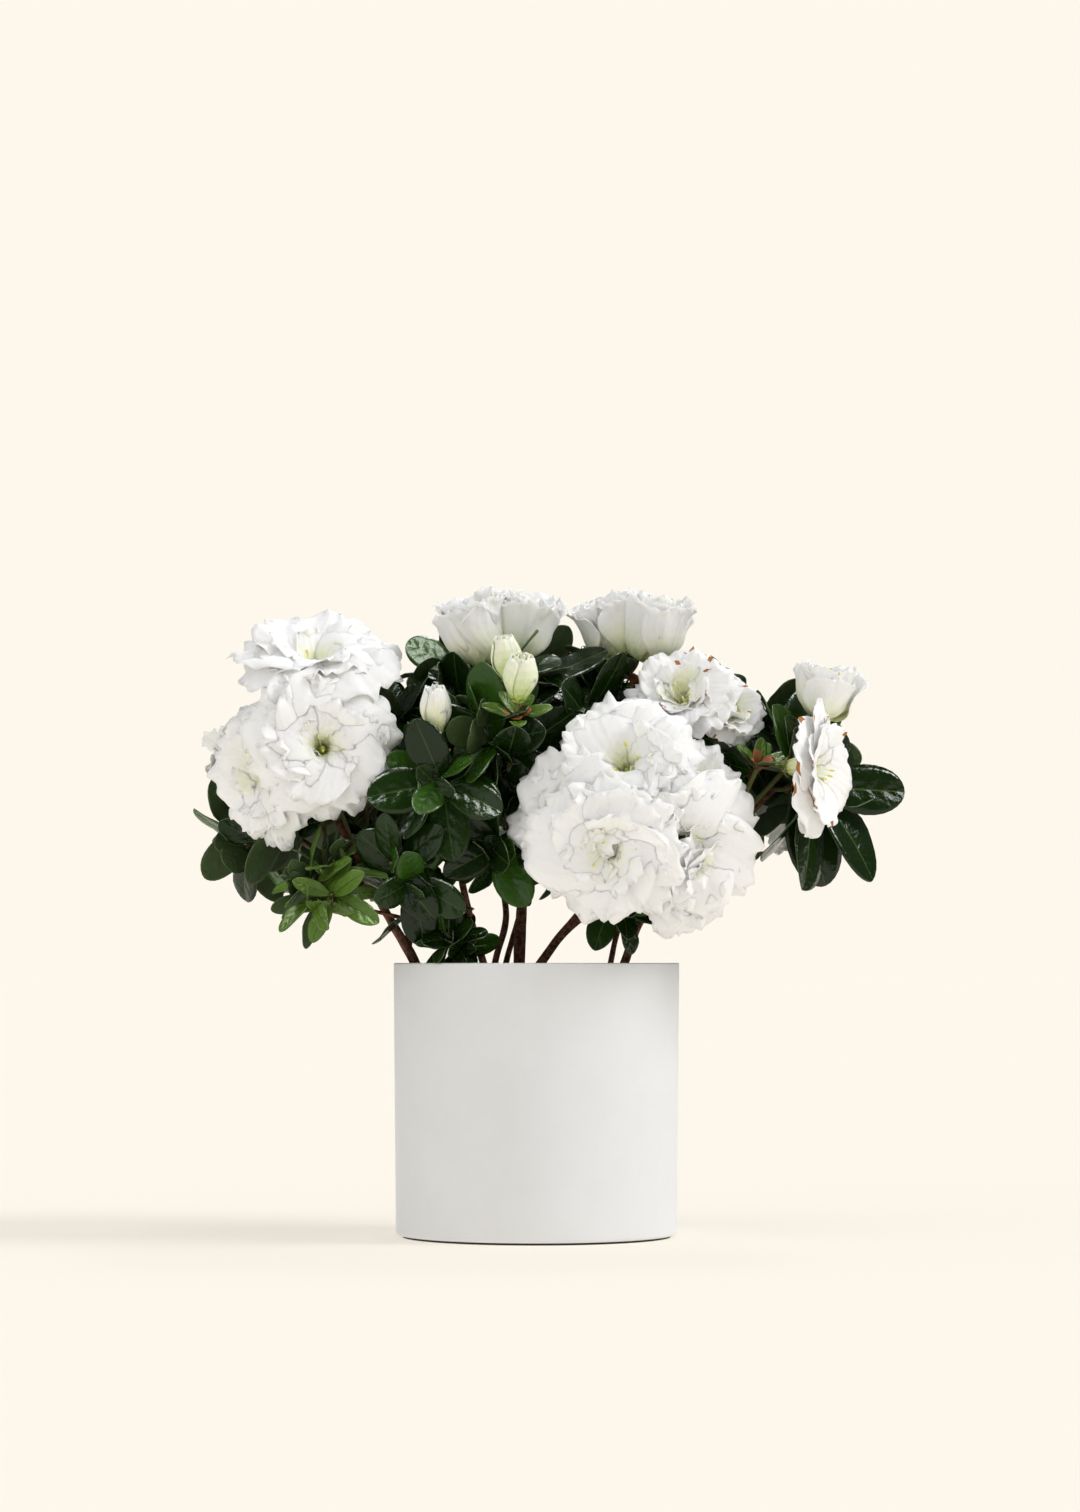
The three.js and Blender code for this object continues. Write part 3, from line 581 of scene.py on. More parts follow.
# Each whorl: petals, reach and rise as shares of the bloom's own, half width as a share of the
# petal's length, ruffle in mm, how far its sides lift, how far each petal is tilted on its neighbour,
# the share of its length that fades to white, the rows and columns of its grid, and how far its tip still
# wraps round the flower's axis.
OPEN_WHORLS = [
    (5, 1.08, 0.6, 0.45, 2.8, -0.006, 0.1, 0.45, (14, 29), 0),
    (5, 0.84, 0.94, 0.42, 2.5, 0.0, 0.12, 0.6, (14, 29), 0.1),
    (3, 0.56, 1.07, 0.42, 2.3, 0.0, 0.14, 0.9, (12, 25), 0.4),
    (3, 0.35, 1.0, 0.38, 2.0, 0.0, 0.16, 1.3, (11, 19), 0.6),
    (3, 0.2, 0.8, 0.36, 1.5, 0.0, 0.2, 1.9, (9, 13), 0.9),
    (3, 0.04, 0.44, 0.4, 0.8, 0.0, 0.2, 3.0, (6, 7), 1),
]
HALF_OPEN_WHORLS = [
    (4, 1.04, 0.96, 0.46, 2.7, 0, 0.06, 0.75, (14, 29), 1),
    (4, 0.86, 1.03, 0.42, 2.7, 0, 0.08, 0.85, (14, 27), 1),
    (3, 0.55, 0.99, 0.38, 2.5, 0, 0.15, 1.1, (13, 21), 1),
]
SINGLE = ("bloom_far_right",)  # blooms with two smoother whorls
HALF_OPEN = 0.7  # a bloom whose mouth's radius is a smaller share of its depth than this is half open
BEND_STARTS, BEND_ENDS = 0.22, 0.72  # along the petal, where it turns from the tube to its open face
TUBE_LEAN = math.radians(9)
TUBE_RADIUS = 1.6
CUP_LEANS = ((0, 0.2, 0.5, 0.8, 1.2), (66, 44, 6, 10, 34))  # along a cupped petal, how many degrees it leans out
LINE_REACH, LINE_PLACES, LINE_TIP = 1.2, 97, 80  # a centreline runs on past its tip, which is place LINE_TIP


def step_up(x, low, high):
    share = np.clip((x - low) / (high - low), 0, 1)
    return share * share * (3 - 2 * share)


def centreline(amount, cupped=False):
    """How far out and up a petal of length 1 runs, and its lean, at even steps along it. The amount is the
    lean at its tip, or for a cupped petal the share of the cup's usual leans."""
    along = np.linspace(0, LINE_REACH, LINE_PLACES)
    if cupped:
        lean = amount * np.radians(np.interp(along, *CUP_LEANS))
    else:
        lean = TUBE_LEAN + (amount - TUBE_LEAN) * step_up(along, BEND_STARTS, BEND_ENDS)
    out = np.concatenate([[0], np.cumsum(np.sin(lean[1:]) * np.diff(along))])
    up = np.concatenate([[0], np.cumsum(np.cos(lean[1:]) * np.diff(along))])
    return along, out, up, lean


def solved(amounts, cupped):
    """The ratio of reach to rise that each amount gives, and the amounts."""
    tried = [centreline(amount, cupped) for amount in amounts]
    return [out[LINE_TIP] / up[LINE_TIP] for _, out, up, _ in tried], amounts


SOLVED = {False: solved(np.radians(np.linspace(10, 125, 60)), False), True: solved(np.linspace(0.1, 2, 60), True)}


def sheet_quads(rows, columns):
    """The quads of a thin closed sheet, as grids of points for its face and its back. Also each quad's row."""
    back = rows * columns
    i, j = (k.ravel() for k in np.meshgrid(np.arange(rows - 1), np.arange(columns - 1), indexing="ij"))
    at = i * columns + j
    face = np.stack([at, at + columns, at + columns + 1, at + 1], axis=1)
    left, right = np.arange(rows - 1) * columns, np.arange(1, rows) * columns - 1
    near, far = np.arange(columns - 1), back - columns + np.arange(columns - 1)
    edges = [(left + columns, left), (right, right + columns), (near, near + 1), (far + 1, far)]
    rim = np.concatenate([np.stack([a, b, b + back, a + back], axis=1) for a, b in edges])
    sides = np.arange(rows - 1)
    rim_rows = np.concatenate([sides, sides, 0 * near, 0 * far + rows - 2])
    return np.concatenate([face, face[:, ::-1] + back, rim]), np.concatenate([i, i, rim_rows])


def thicken(face, thickness):
    """A grid of points and the same grid set back by a thickness."""
    normal = np.cross(np.gradient(face, axis=0), np.gradient(face, axis=1))
    normal /= np.linalg.norm(normal, axis=-1)[..., None] + 1e-12
    return np.concatenate([face.reshape(-1, 3), (face - normal * thickness).reshape(-1, 3)])


def waves(random, x, pitches, heights):
    """A sum of waves over x, each with its own random phase."""
    return sum(h * np.sin(2 * math.pi * x / p + random.uniform(0, 2 * math.pi)) for p, h in zip(pitches, heights))


def petal(random, reach, rise, half_width, ruffle, cup, tilt, turn, rows, columns, wrapped=0, cupped=False):
    """One petal as a grid of points about its flower's base, with the flower's axis along Z."""
    amount = np.interp(reach / rise, *SOLVED[cupped]) + random.uniform(-1, 1) * (0.07 + 0.16 * wrapped)
    along, out, up, lean = centreline(amount, cupped)
    length = random.uniform(0.92, 1.06) * math.hypot(reach, rise) / math.hypot(out[LINE_TIP], up[LINE_TIP])

    # The sheet laid flat, u along it and v across it, with a rounded margin and a small notch at the tip.
    u = np.linspace(0.04, 1, rows)[:, None] ** 0.92
    v = np.linspace(-1, 1, columns)[None, :]
    edge = v + 0.8 * np.sign(v) * (1 - u)  # how far round the petal's margin, from the middle of its tip
    rounded = 0.22 if cupped else 0.4
    margin = 1 - rounded * (1 - np.sqrt(1 - 0.97 * v**2)) - 0.03 * np.exp(-((v / 0.14) ** 2))
    s = u * (margin + 0.012 * ruffle * u**5 * waves(random, edge, (0.8, 0.45, 0.3), (0.7, 0.6, 0.45)))
    width = half_width * (0.12 + 0.88 * step_up(u, 0.05, 0.78)) * random.uniform(0.93, 1.07)
    x = v * width * length

    # How far each place lifts off that sheet, more so towards the margin.
    to_edge = np.maximum(u**4, u * np.abs(v) ** 4)
    frill = ruffle * to_edge * waves(random, edge, (0.95, 0.6), (0.42, 0.2))
    crimp = ruffle * to_edge**2.5 * waves(random, edge, (0.4, 0.27), (0.3, 0.24))
    sway = 0.42 * ruffle * u**1.4 * waves(random, v + 0.2 * u, (1.9, 0.95), (0.8, 0.4))
    pleat = 0.07 * ruffle * u**1.2 * waves(random, v, (0.5, 0.28), (1, 0.6))
    crease = -0.45 * np.exp(-((v / 0.16) ** 2)) * (1 - u)
    curl = random.uniform(-1, 0.2) * ruffle * u**5
    lift = cup * x**2 + tilt * x + frill + crimp + sway + pleat + crease + curl

    # The sheet bent along its centreline and round the flower's axis, which an open petal leaves at its tip.
    radial = TUBE_RADIUS + length * np.interp(s, along, out)
    axial = length * np.interp(s, along, up)
    lean = np.interp(s, along, lean)
    wrap = 1 - (1 - wrapped) * step_up(u, 0.3, 0.85)
    bend = (radial + 1) / np.maximum(wrap, 0.02)
    round_axis = np.clip(x / bend, -1.5, 1.5)
    axial = axial + lift * np.sin(lean)
    x = (bend - lift * np.cos(lean)) * np.sin(round_axis)
    radial = radial - bend + (bend - lift * np.cos(lean)) * np.cos(round_axis)
    return np.stack([
        radial * math.cos(turn) - x * math.sin(turn),
        radial * math.sin(turn) + x * math.cos(turn),
        axial,
    ], axis=-1)


def folded_petal(random, radius, depth, turn):
    """One petal wrapped round a blunt bud, its edge lapping over the next."""
    u = np.linspace(0.03, 1, BUD_GRID[0])[:, None]
    v = np.linspace(-1, 1, BUD_GRID[1])[None, :]
    around = turn + v * (1.45 - 0.15 * u**2) + 0.5 * u
    body = (0.2 + 0.8 * step_up(u, -0.15, 0.58)) * (1 - 0.42 * step_up(u, 0.6, 1.12))
    out = radius * body * (0.95 + 0.09 * v * u) + 0.35 * u**3 * waves(random, v, (0.9, 0.5), (0.6, 0.4))
    height = depth * u * (1 - 0.13 * np.abs(v) ** 2.5 + 0.02 * u * waves(random, v, (0.9, 0.45), (0.8, 0.6)))
    return np.stack([out * np.cos(around), out * np.sin(around), height + 0 * around], axis=-1)


def placed(points, base, axis):
    """Points about a flower's base and axis, moved to where the flower is."""
    a, b = square_to(axis)
    return base + points @ np.array([a, b, axis])


def petal_finish(name, colour, through):
    """One plain tone of a thin petal that light sinks into, with faint veins that run out to its margin."""
    made = Finish(name, roughness=0.55, specular_ior_level=0.25, base_color=colour)
    made.set(subsurface_weight=through, subsurface_radius=(1.0, 1.0, 0.9), subsurface_scale=0.0003)
    veins = (made.marks("X") * 34 + made.noise(7) * 7).sine()
    made.bump(veins * 0.3 + made.noise(3.5) * 1.6, 0.22, 0.8)
    return made


def faded(name, green, white):
    """Finishes from a throat's green to the white of the petals."""
    shares = np.linspace(0, 1, TONES)[:, None] ** 0.7
    tones = np.array(green) * (1 - shares) + np.array(white) * shares
    return [petal_finish(f"{name}_{k}", tuple(tone), 0.8) for k, tone in enumerate(tones)]


petal_finishes = faded("petal", (0.78, 0.83, 0.38), (0.965, 0.965, 0.955))
petal_finishes.append(petal_finish("petal_withered", (0.36, 0.14, 0.04), 0.2))
bud_finishes = faded("bud", (0.5, 0.64, 0.16), (0.95, 0.96, 0.82))
green_stalk = Finish("green_stalk", roughness=0.6, specular_ior_level=0.3)
stalk_blotch = green_stalk.noise(3).between(0.35, 0.65)
green_stalk.set(base_color=green_stalk.mix(stalk_blotch, (0.12, 0.19, 0.04), (0.2, 0.16, 0.06)))
bract = Finish("bract", base_color=(0.27, 0.1, 0.03), roughness=0.7)
filament = Finish("filament", base_color=(0.78, 0.82, 0.55), roughness=0.5)
anther = Finish("anther", base_color=(0.78, 0.72, 0.18), roughness=0.8)
ovary = Finish("ovary", base_color=(0.6, 0.68, 0.22), roughness=0.6)

stalks, stamens = Heap(), Heap()
forks = {}  # where each truss forks, and the way its stalk comes
petal_faces = []  # the face of every petal, for what may not grow through them


def add_tube(heap, points, radii, sides, finish, steps=8):
    line = smooth_line(points, steps)
    heap.add(rings_along(line, np.linspace(*radii, steps + 1), sides), tube_quads(steps + 1, sides), finish)


def add_petal(heap, random, points, base, axis, fade, sound=SOUND):
    """The petal fades from green to white over a share of its length, and its margin may be withered."""
    face = placed(points, base, axis)
    quads, rows = sheet_quads(*face.shape[:2])
    share = (rows + random.uniform(-0.5, 0.5, len(rows))) / (face.shape[0] - 1)
    tones = np.clip(share / fade * TONES, 0, TONES - 1).astype(int)
    decay = waves(random, quads[:, 0] % face.shape[1] / face.shape[1], (0.7, 0.3), (0.8, 0.5))
    tones[(decay > sound) & (rows == face.shape[0] - 2)] = WITHERED_TONE
    v, u = np.meshgrid(np.linspace(-1, 1, face.shape[1]), np.linspace(0, 1, face.shape[0]))
    marks = np.stack([v, u], axis=-1).reshape(-1, 2)
    heap.add(thicken(face, PETAL_THICKNESS), quads, tones, np.concatenate([marks, marks]))
    petal_faces.append(face)


def add_stamens(random, base, axis, depth):
    """The pointed ovary in the throat, and three stamens that bow out round it."""
    add_tube(stamens, [base + axis * share * depth for share in OVARY_SPAN], OVARY_RADII, 8, 2, steps=4)
    for k in range(STAMENS):
        turn, lean = 2.4 * k + random.uniform(-1, 1), random.uniform(0.1, 0.35)
        out = np.array([math.cos(turn) * math.sin(lean), math.sin(turn) * math.sin(lean), math.cos(lean)])
        foot = np.array([0.8 * math.cos(turn), 0.8 * math.sin(turn), 0.2 * depth])
        tip = out * depth * random.uniform(0.7, 0.95)
        middle = (foot + tip) / 2 - out * (1, 1, 0) * 1.5
        add_tube(stamens, placed(np.array([foot, middle, tip]), base, axis), FILAMENT_RADII, 4, 0)
        head = placed(np.array([tip - out * 0.2, tip + out * 1.8]), base, axis)
        add_tube(stamens, head, ANTHER_RADII, 6, 1, steps=3)


def add_scales(random, base, axis, size, count, finish):
    """A ring of small pointed scales: a calyx, or the papery bracts that a truss came out of."""
    for k in range(count):
        lobe = petal(random, 0.75 * size, size, 0.3, 0.1, 0.03, 0.1, 2 * math.pi * k / count, *CALYX_GRID)
        face = placed(lobe * 1.04 - (0, 0, 0.6), base, axis)
        stalks.add(thicken(face, SCALE_THICKNESS), sheet_quads(*CALYX_GRID)[0], finish)


for number, (name, (limb, heads)) in enumerate(TRUSSES.items()):
    random = np.random.default_rng(100 + number)
    heap = Heap()
    line = lines[limb]
    start = line[round(TRUSS_FROM * (len(line) - 1))]
    bases = [np.array(at) - unit(aim) * depth for at, aim, _, depth in heads]
    fork = sum(base - unit(aim) * FORK_BEHIND for base, (_, aim, _, _) in zip(bases, heads)) / len(heads)
    add_tube(stalks, [start, (start + fork) / 2, fork], (1.3, 1.15), 8, 0)
    came = unit(fork - start)
    forks[name] = fork, came
    add_scales(random, fork - came * 2, came, BRACT_SIZE, BRACTS, 1)
    for base, (at, aim, radius, depth) in zip(bases, heads):
        axis = unit(aim)
        add_tube(stalks, [fork, base - axis * 4, base + axis * 1.5], (STALK_RADIUS, STALK_RADIUS), 8, 0)
        add_scales(random, base, axis, BUD_CALYX_SIZE if name in BUDS else CALYX_SIZE, CALYX_LOBES, 0)
        if name in BUDS:
            for k, inner in enumerate(BUD_PETALS):
                points = folded_petal(random, radius * inner, depth * (1.04 - 0.04 * inner), BUD_TURN * k)
                add_petal(heap, random, points, base, axis, BUD_FADE)
            continue
        add_stamens(random, base, axis, depth)
        start_turn = random.uniform(0, 2 * math.pi)
        cupped = radius / depth < HALF_OPEN
        whorls = HALF_OPEN_WHORLS if cupped else OPEN_WHORLS
        if name in SINGLE:
            whorls = whorls[:2]
        for w, (count, reach, rise, half_width, ruffle, cup, tilt, fade, grid, wrapped) in enumerate(whorls):
            for k in range(count):
                turn = start_turn + 2 * math.pi * (k + 0.5 * w) / count + random.uniform(-0.14, 0.14)
                frilled = ruffle * max(radius, 0.8 * depth) / FULL_SIZE * (0.6 if name in SINGLE else 1)
                size = (reach * radius, rise * depth, half_width)
                points = petal(random, *size, frilled, cup, tilt, turn, *grid, wrapped, cupped)
                add_petal(heap, random, points, base, axis, fade, WITHERED.get(name, SOUND))
    finishes = bud_finishes if name == "buds_front" else petal_finishes
    heap.piece(f"{name}_petals", finishes, "petal", [name])

stalks.piece("flower_stalks", [green_stalk, bract], "young_leaf", list(TRUSSES))
stamens.piece("stamens", [filament, anther, ovary], "petal", [name for name in TRUSSES if name not in BUDS])

# ------------------------------------------------------------------ leaves
# Evergreen leaves in rosettes at the ends of short twigs that fan out from each limb's tip: leathery,
# glossy dark green with a sunken midrib, and paler beneath. New shoots carry small bright leaves.

# A mass has its limb, the way it aims, its seed, how many degrees its shoots spread, their reach and number,
# the leaves of each, and the length of a leaf.
TYPICAL_MASS = {"spread": 80, "reach": 20, "shoots": 4, "leaves": 6, "length": 37, "young": False}
MASSES = {
    "young_leaves_left": {
        "on": "bough_low_left", "aim": (-0.8, -0.2, 0.5), "seed": 15, "spread": 60, "shoots": 6,
        "length": 26, "young": True,
    },
    "leaves_front": {"on": "bough_front", "aim": (-0.6, -0.8, 0), "seed": 22, "spread": 60, "reach": 13},
    "leaves_centre_left": {
        "on": "stem_centre_left", "aim": (-0.1, -0.9, 0.1), "seed": 16, "spread": 65, "reach": 15,
    },
    "leaves_centre": {
        "on": "bough_centre", "aim": (-0.1, -0.8, -0.1), "seed": 31, "spread": 75, "reach": 13, "length": 32,
    },
    "leaves_far_right": {
        "on": "stem_far_right", "aim": (0.88, -0.5, 0.05), "seed": 27, "spread": 58, "reach": 17, "leaves": 9,
        "length": 54,
    },
    "leaves_low_right": {
        "on": "bough_low_right", "aim": (0.4, -0.5, 0.3), "seed": 25, "spread": 60, "reach": 10, "length": 25,
    },
    "leaves_low_left": {"on": "stem_left", "aim": (0.1, -0.5, -0.2), "seed": 14, "reach": 17, "length": 34},
    "leaves_low_centre": {
        "on": "bough_low_centre", "aim": (0.1, -0.6, 0.5), "seed": 33, "spread": 75, "reach": 8, "shoots": 3,
        "length": 20,
    },
    "leaves_left": {"on": "stem_far_left", "aim": (-0.5, 0.1, -0.1), "seed": 11, "spread": 95, "reach": 22},
    "leaves_left_inner": {"on": "bough_left_inner", "aim": (0.2, -0.7, 0.6), "seed": 12, "reach": 24},
    "leaves_left_outer": {"on": "bough_left_outer", "aim": (-0.7, 0.6, -0.1), "seed": 13, "reach": 18},
    "leaves_top_left": {"on": "bough_top_left", "aim": (-0.5, -0.4, 0.5), "seed": 23, "reach": 18},
    "leaves_top": {"on": "stem_main", "aim": (0.1, -0.5, 0.8), "seed": 20, "reach": 26, "leaves": 7},
    "leaves_top_right": {"on": "bough_top_right", "aim": (-0.5, -0.8, 0.2), "seed": 21, "reach": 17, "length": 34},
    "leaves_right": {"on": "stem_right", "aim": (0.3, -0.6, 0), "seed": 24, "spread": 100, "shoots": 5},
    "leaves_right_inner": {"on": "bough_right_inner", "aim": (0.4, -0.5, 0.4), "seed": 26, "reach": 18},
    "leaves_right_outer": {"on": "bough_right_outer", "aim": (0.5, 0.5, 0), "seed": 28, "reach": 18},
    "leaves_back_left": {"on": "stem_back_left", "aim": (0, 0.5, 0.8), "seed": 17, "reach": 24, "leaves": 7},
    "leaves_far_back_left": {"on": "bough_back_left", "aim": (-0.5, 0.5, -0.5), "seed": 18},
    "leaves_back": {"on": "stem_back", "aim": (-0.2, 0.8, -0.2), "seed": 41, "reach": 22, "shoots": 5},
    "leaves_back_right": {"on": "stem_back_right", "aim": (0.5, 0.1, 0.7), "seed": 29, "reach": 22},
    "leaves_low_back": {"on": "bough_back_right", "aim": (0.1, 0.8, -0.2), "seed": 30},
}
GOLDEN = 2.39996  # radians from each leaf to the next round its shoot
LEAN_OLD, LEAN_YOUNG = 88, 42  # degrees from the shoot
ROSETTE_DEPTH = 5
FRESHER = ("leaves_low_left", "leaves_low_right", "leaves_low_centre", "leaves_centre", "leaves_left_outer")
FRESHER_DRAW = 0.6  # makes the draw lower, towards the brighter greens of newer growth
NEW_LEAVES = {"buds_front": 5, "bloom_far_right": 6}  # how many small bright leaves stand round a truss's fork
NEW_LENGTH = 17
SIDE_SHARE = 0.4  # of its shoot's length
SIDE_LEAVES = 2
SIDE_SIZE = 0.62  # of a leaf, next to those of the rosettes
FORK_SHARE = 0.3  # of a mass's reach, from its limb's tip to where its shoots part
BALL_MIDDLE, BALL_LEAF = 0.6, 0.8  # the space a mass keeps to, as shares of its reach and of a leaf
BALL_SLACK = 1.05
TWIG_RADIUS = 1.05
SIDE_TWIG_RADII = (0.6, 0.4)
YOUNG_BREADTH, BREADTHS = 0.19, (0.255, 0.295)  # half a leaf's, as a share of its length
FRESH_BELOW, DEEP_BELOW = 0.08, 0.35  # a leaf's draw from 0 to 1 gives its tone
FRESH_YOUTH = 0.95
TRIES = ((1, 0), (0.95, 0.25), (0.85, -0.25), (0.75, 0))  # how much shorter a leaf is made, and leant aside

LEAF_ROWS = 12
LEAF_ACROSS = np.array([-1, -0.76, -0.5, -0.25, -0.04, 0.04, 0.25, 0.5, 0.76, 1])
LEAF_COLUMNS = len(LEAF_ACROSS)
LEAF_THICKNESS = 0.42
PETAL_REACH = 24  # from a petal's middle to its furthest point
MOUTH_SHARE = 0.85  # of a bloom's radius, within which no leaf stands less than MOUTH_REACH in front of it
MOUTH_REACH = 35
DARK, DEEP, FRESH, UNDER, YOUNG, RIB = range(6)


def seeded(seed):
    """The same run of numbers from 0 to 1 for the same seed."""
    state = seed
    while True:
        state = (state * 1664525 + 1013904223) % 2**32
        yield state / 2**32


def leaning(axis, lean, turn):
    """The direction that leans away from an axis, turned round it."""
    a, b = square_to(axis)
    return unit(axis * math.cos(lean) + (a * math.cos(turn) + b * math.sin(turn)) * math.sin(lean))


leaf_along = np.sin(np.linspace(0, math.pi / 2, LEAF_ROWS))[:, None]
leaf_quads, _ = sheet_quads(LEAF_ROWS, LEAF_COLUMNS)
leaf_is_under = np.arange(len(leaf_quads)) >= (LEAF_ROWS - 1) * (LEAF_COLUMNS - 1)
leaf_is_rib = np.arange(len(leaf_quads)) % (LEAF_COLUMNS - 1) == LEAF_COLUMNS // 2 - 1
leaf_marks = np.stack(np.broadcast_arrays(LEAF_ACROSS[None, :], leaf_along), axis=-1).reshape(-1, 2)
leaf_marks = np.concatenate([leaf_marks, leaf_marks])


def leaf_grid(random, root, direction, face, length, breadth, droop, wave):
    """A leaf from its stalk to its tip, creased along its midrib, with quilted halves and rolled edges."""
    s = leaf_along
    v = LEAF_ACROSS[None, :]
    blade = np.clip((s - 0.07) / 0.93, 0, 1)
    outline = blade**0.72 * (1 - blade) ** 0.56 / 0.422
    half = length * (breadth * outline + 0.022 * (1 - blade))
    x = v * half
    fold = 0.24 * np.abs(x) - 0.018 * x**2 * (37 / length)
    quilt = 0.4 * np.sin(2 * math.pi * (6.5 * s - 1.3 * np.abs(v))) * np.abs(v) * (1 - np.abs(v)) * 2
    edge = wave * np.abs(v) ** 2 * waves(random, s + 0.3 * np.sign(v), (0.7, 0.4), (0.7, 0.3))
    sweep = length * droop * s**2.2
    up = fold + (quilt + edge) * np.sin(np.pi * s) - sweep
    sideways = length * random.uniform(-0.06, 0.06) * s**2
    along = length * s * (1 - 0.5 * droop**2)
    side = np.cross(face, direction)
    places = along[..., None] * direction + (x + sideways)[..., None] * side + up[..., None] * face
    return root + places


def shoots_of(mass, fork, numbers):
    """Each shoot's heading and tip, and the turn that its rosette starts from."""
    axis = unit(mass["aim"])
    shoots = []
    for k in range(mass["shoots"]):
        lean = math.radians(mass["spread"]) * math.sqrt(k / (mass["shoots"] - 1))
        heading = leaning(axis, lean, k * GOLDEN + 0.8 * next(numbers))
        tip = fork + heading * mass["reach"] * (0.75 + 0.4 * next(numbers))
        shoots.append((heading, tip, 2 * math.pi * next(numbers)))
    return shoots


def side_shoots(random, fork, heading, tip):
    """The root, tip and heading of the finer twigs along a shoot."""
    for place, turn in ((0.45, random.uniform(0, 6)), (0.75, random.uniform(0, 6))):
        way = leaning(heading, math.radians(random.uniform(45, 70)), turn)
        root = fork + (tip - fork) * place
        yield root, root + way * SIDE_SHARE * np.linalg.norm(tip - fork), way


def rosette(heading, tip, turn, mass, numbers):
    """Each leaf's youth from 0 to 1, its root, its lean and turn, and its length."""
    for k in range(mass["leaves"]):
        youth = k / (mass["leaves"] - 1)
        lean = math.radians(LEAN_OLD + (LEAN_YOUNG - LEAN_OLD) * youth + 14 * (next(numbers) - 0.5))
        size = mass["length"] * (0.72 + 0.28 * math.sqrt(1 - youth) + 0.12 * (next(numbers) - 0.5))
        yield youth, tip - heading * (1 + ROSETTE_DEPTH * (1 - youth)), lean, turn + k * GOLDEN, size


def tree_of(grid):
    """The faces of one sheet, to test what runs through it."""
    rows, columns = grid.shape[:2]
    cells = sheet_quads(rows, columns)[0][: (rows - 1) * (columns - 1)]
    return BVHTree.FromPolygons(grid.reshape(-1, 3).tolist(), cells.tolist())


petal_trees = [tree_of(face[:, ::2]) for face in petal_faces]
petal_middles = np.array([face.reshape(-1, 3).mean(axis=0) for face in petal_faces])

mouths = [(np.array(at), unit(aim), radius) for _, heads in TRUSSES.values() for at, aim, radius, _ in heads]
leaf_trees = []  # (middle, reach, tree) of each leaf so far


def hides_bloom(points):
    for at, axis, radius in mouths:
        ahead = (points - at) @ axis
        aside = np.linalg.norm(points - at - ahead[:, None] * axis, axis=1)
        if np.any((ahead > -3) & (ahead < MOUTH_REACH) & (aside < MOUTH_SHARE * radius)):
            return True
    return False


def is_clear(grid):
    """Whether a leaf runs through no petal and no other leaf, and hides no bloom. If so it is remembered."""
    if hides_bloom(grid[LEAF_ROWS // 2 :: 2, LEAF_COLUMNS // 2]):
        return False
    tree = tree_of(grid[3:, ::2])
    middle = grid[LEAF_ROWS // 2, LEAF_COLUMNS // 2]
    reach = np.linalg.norm(grid[-1, 0] - grid[0, 0])
    near = np.nonzero(np.linalg.norm(petal_middles - middle, axis=1) < reach / 2 + PETAL_REACH)[0]
    if any(tree.overlap(petal_trees[k]) for k in near):
        return False
    for other_middle, other_reach, other in leaf_trees:
        if np.linalg.norm(other_middle - middle) < (reach + other_reach) / 2 and tree.overlap(other):
            return False
    leaf_trees.append((middle, reach, tree))
    return True


def add_leaf(heap, grid, tone):
    tones = np.where(leaf_is_under, UNDER, np.where(leaf_is_rib, RIB, tone))
    heap.add(thicken(grid, LEAF_THICKNESS), leaf_quads, tones, leaf_marks)


def turned_leaf(random, root, heading, lean, turn, *shape):
    """A leaf's grid, at a lean to its shoot and a turn round it, with its face towards the shoot's tip."""
    direction, face = leaning(heading, lean, turn), leaning(heading, lean - math.pi / 2, turn)
    return leaf_grid(random, root, direction, face, *shape)


leaf_pieces = {}
for name, count in NEW_LEAVES.items():
    random = np.random.default_rng(count)
    fork, heading = forks[name]
    heap = Heap()
    for k in range(3 * count):
        lean, length = math.radians(random.uniform(30, 65)), NEW_LENGTH * random.uniform(0.75, 1.1)
        root = fork - heading * random.uniform(0, 4)
        grid = turned_leaf(random, root, heading, lean, k * GOLDEN, length, 0.2, 0.15, 0.5)
        if len(heap.points) < count and is_clear(grid):
            add_leaf(heap, grid, YOUNG)
    leaf_pieces[f"new_{name}"] = heap

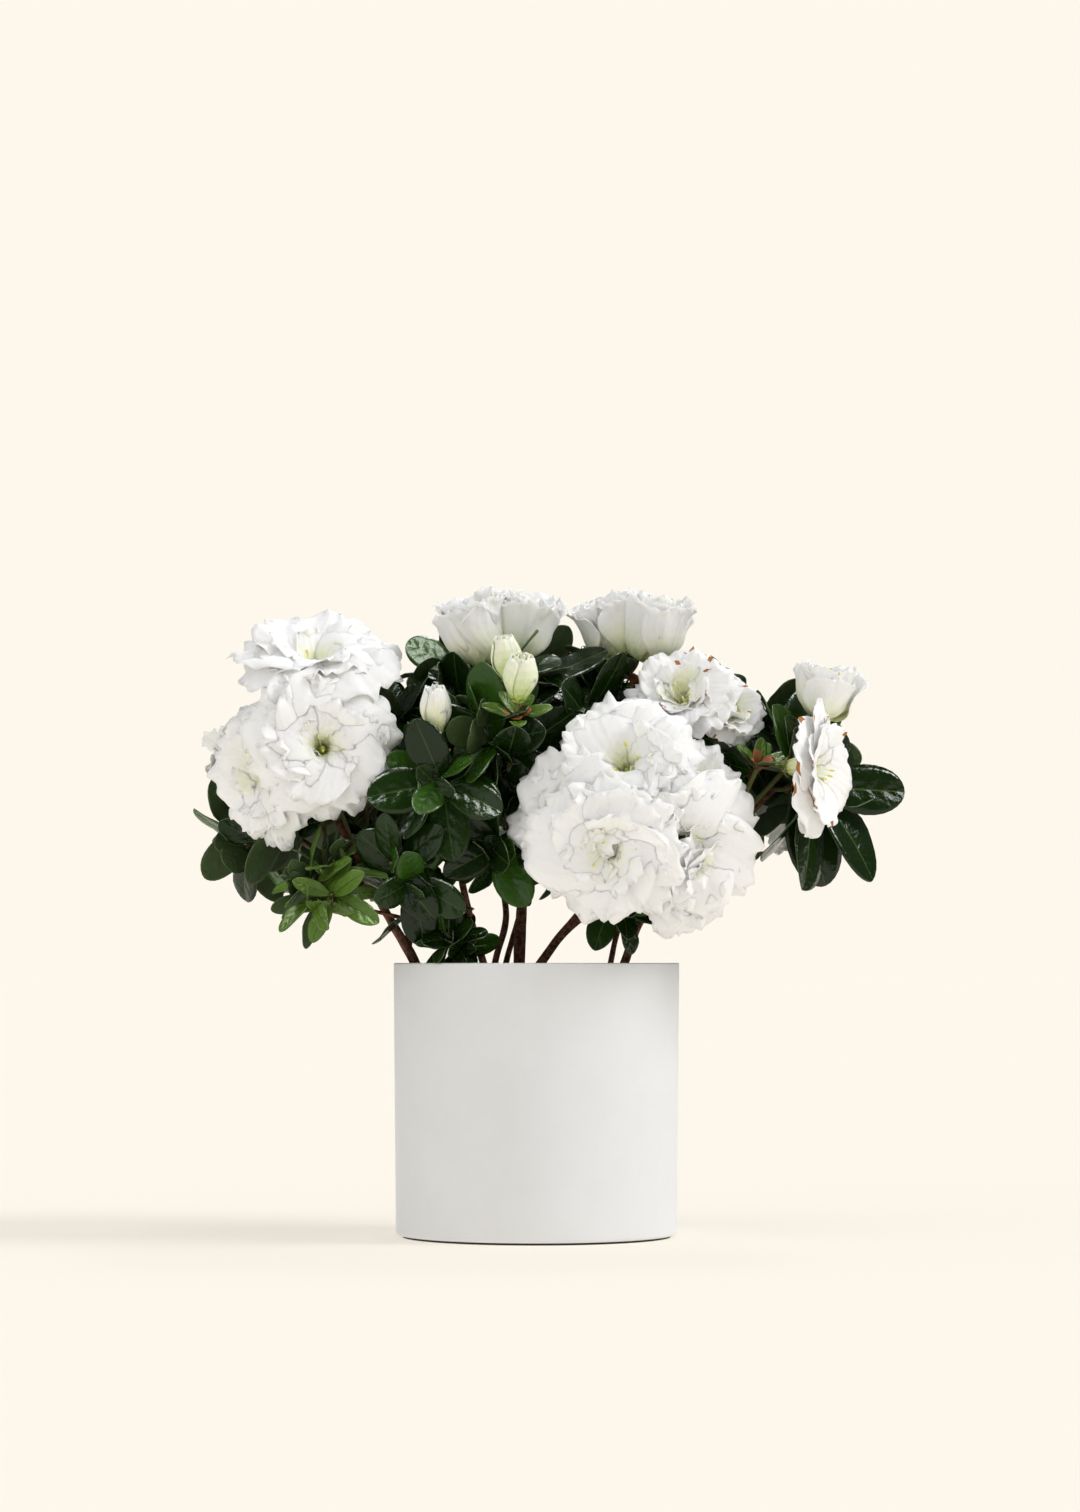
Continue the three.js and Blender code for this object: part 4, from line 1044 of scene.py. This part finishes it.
twigs = Heap()
for name, special in MASSES.items():
    mass = TYPICAL_MASS | special
    numbers = seeded(mass["seed"])
    random = np.random.default_rng(mass["seed"])
    axis = unit(mass["aim"])
    limb_line = lines[mass["on"]]
    fork = limb_line[-1] + axis * FORK_SHARE * mass["reach"]
    middle = limb_line[-1] + axis * BALL_MIDDLE * mass["reach"]
    ball = BALL_SLACK * (mass["reach"] + BALL_LEAF * mass["length"])
    add_tube(twigs, [limb_line[-4], limb_line[-1], fork], (1.2, 1.15), 8, 0)
    heap = Heap()
    wanted, side_wanted, shoots, bearing = [], [], [], set()
    for heading, tip, turn in shoots_of(mass, fork, numbers):
        bent = (fork + tip) / 2 + random.normal(size=3)
        shoots.append(([fork, bent, tip], (TWIG_RADIUS, 0.75 * TWIG_RADIUS), 8, 0))
        wanted += [(len(shoots) - 1, heading, *leaf) for leaf in rosette(heading, tip, turn, mass, numbers)]
        for root, end, way in side_shoots(random, fork, heading, tip):
            bent = (root + end) / 2 + random.normal(size=3) * 0.4
            shoots.append(([root, bent, end], SIDE_TWIG_RADII, 6, 0, 5))
            for k in range(SIDE_LEAVES):
                size = mass["length"] * SIDE_SIZE * random.uniform(0.8, 1.1)
                youth, lean = random.uniform(0.3, 0.9), math.radians(random.uniform(40, 75))
                side_wanted.append((len(shoots) - 1, way, youth, end - way, lean, k * GOLDEN, size))
    for shoot, heading, youth, root, lean, turn, size in wanted + side_wanted:
        for shorter, aside in TRIES:
            breadth = YOUNG_BREADTH if mass["young"] else random.uniform(*BREADTHS)
            shape = (size * shorter, breadth, random.uniform(0.06, 0.2), 0.8)
            grid = turned_leaf(random, root, heading, lean + aside, turn, *shape)
            if np.linalg.norm(grid[-1, 0] - middle) > ball or not is_clear(grid):
                continue
            if mass["young"]:
                tone = YOUNG
            else:
                draw = random.uniform() * (FRESHER_DRAW if name in FRESHER else 1)
                tone = DEEP if draw < DEEP_BELOW else DARK
                if youth > FRESH_YOUTH or draw < FRESH_BELOW:
                    tone = FRESH
            add_leaf(heap, grid, tone)
            bearing.add(shoot)
            break
    for shoot in sorted(bearing):
        add_tube(twigs, *shoots[shoot])
    leaf_pieces[name] = heap


def leaf_finish(name, colour, roughness):
    """One plain green, quilted between its side veins."""
    made = Finish(name, base_color=colour, roughness=roughness, specular_ior_level=0.32)
    across, along = abs(made.marks("X")), made.marks("Y")
    veins = (along * 34 - across * 9 + made.noise(6) * 5).sine() * (1 - across)
    made.bump(veins * 0.35 + made.noise(2.2) * 1.5, 0.22, 1)
    return made


leaf_finishes = [
    leaf_finish("leaf_dark", (0.006, 0.018, 0.002), 0.17),
    leaf_finish("leaf_deep", (0.01, 0.031, 0.003), 0.19),
    leaf_finish("leaf_fresh", (0.026, 0.08, 0.005), 0.27),
    leaf_finish("leaf_underside", (0.055, 0.09, 0.03), 0.6),
    leaf_finish("leaf_young", (0.095, 0.18, 0.02), 0.34),
    leaf_finish("leaf_rib", (0.028, 0.062, 0.01), 0.3),
]
twig_bark = Finish("twig", roughness=0.7, specular_ior_level=0.3)
twig_blotch = twig_bark.noise(3).between(0.35, 0.65)
twig_bark.set(base_color=twig_bark.mix(twig_blotch, (0.09, 0.05, 0.022), (0.12, 0.12, 0.035)))
twig_bark.bump(twig_bark.noise(1), 0.2, 0.6)

for name, heap in leaf_pieces.items():
    slot = "young_leaf" if name.startswith(("young", "new")) else "leaf"
    heap.piece(f"{name}_blades", leaf_finishes, slot, [name.removeprefix("new_")])
twigs.piece("twigs", [twig_bark], "bark", list(MASSES))

# ------------------------------------------------------------------ the whole
boxes = {"cad": cad_box, "visual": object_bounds()}
{name: [list(corner) for corner in box] for name, box in boxes.items()}
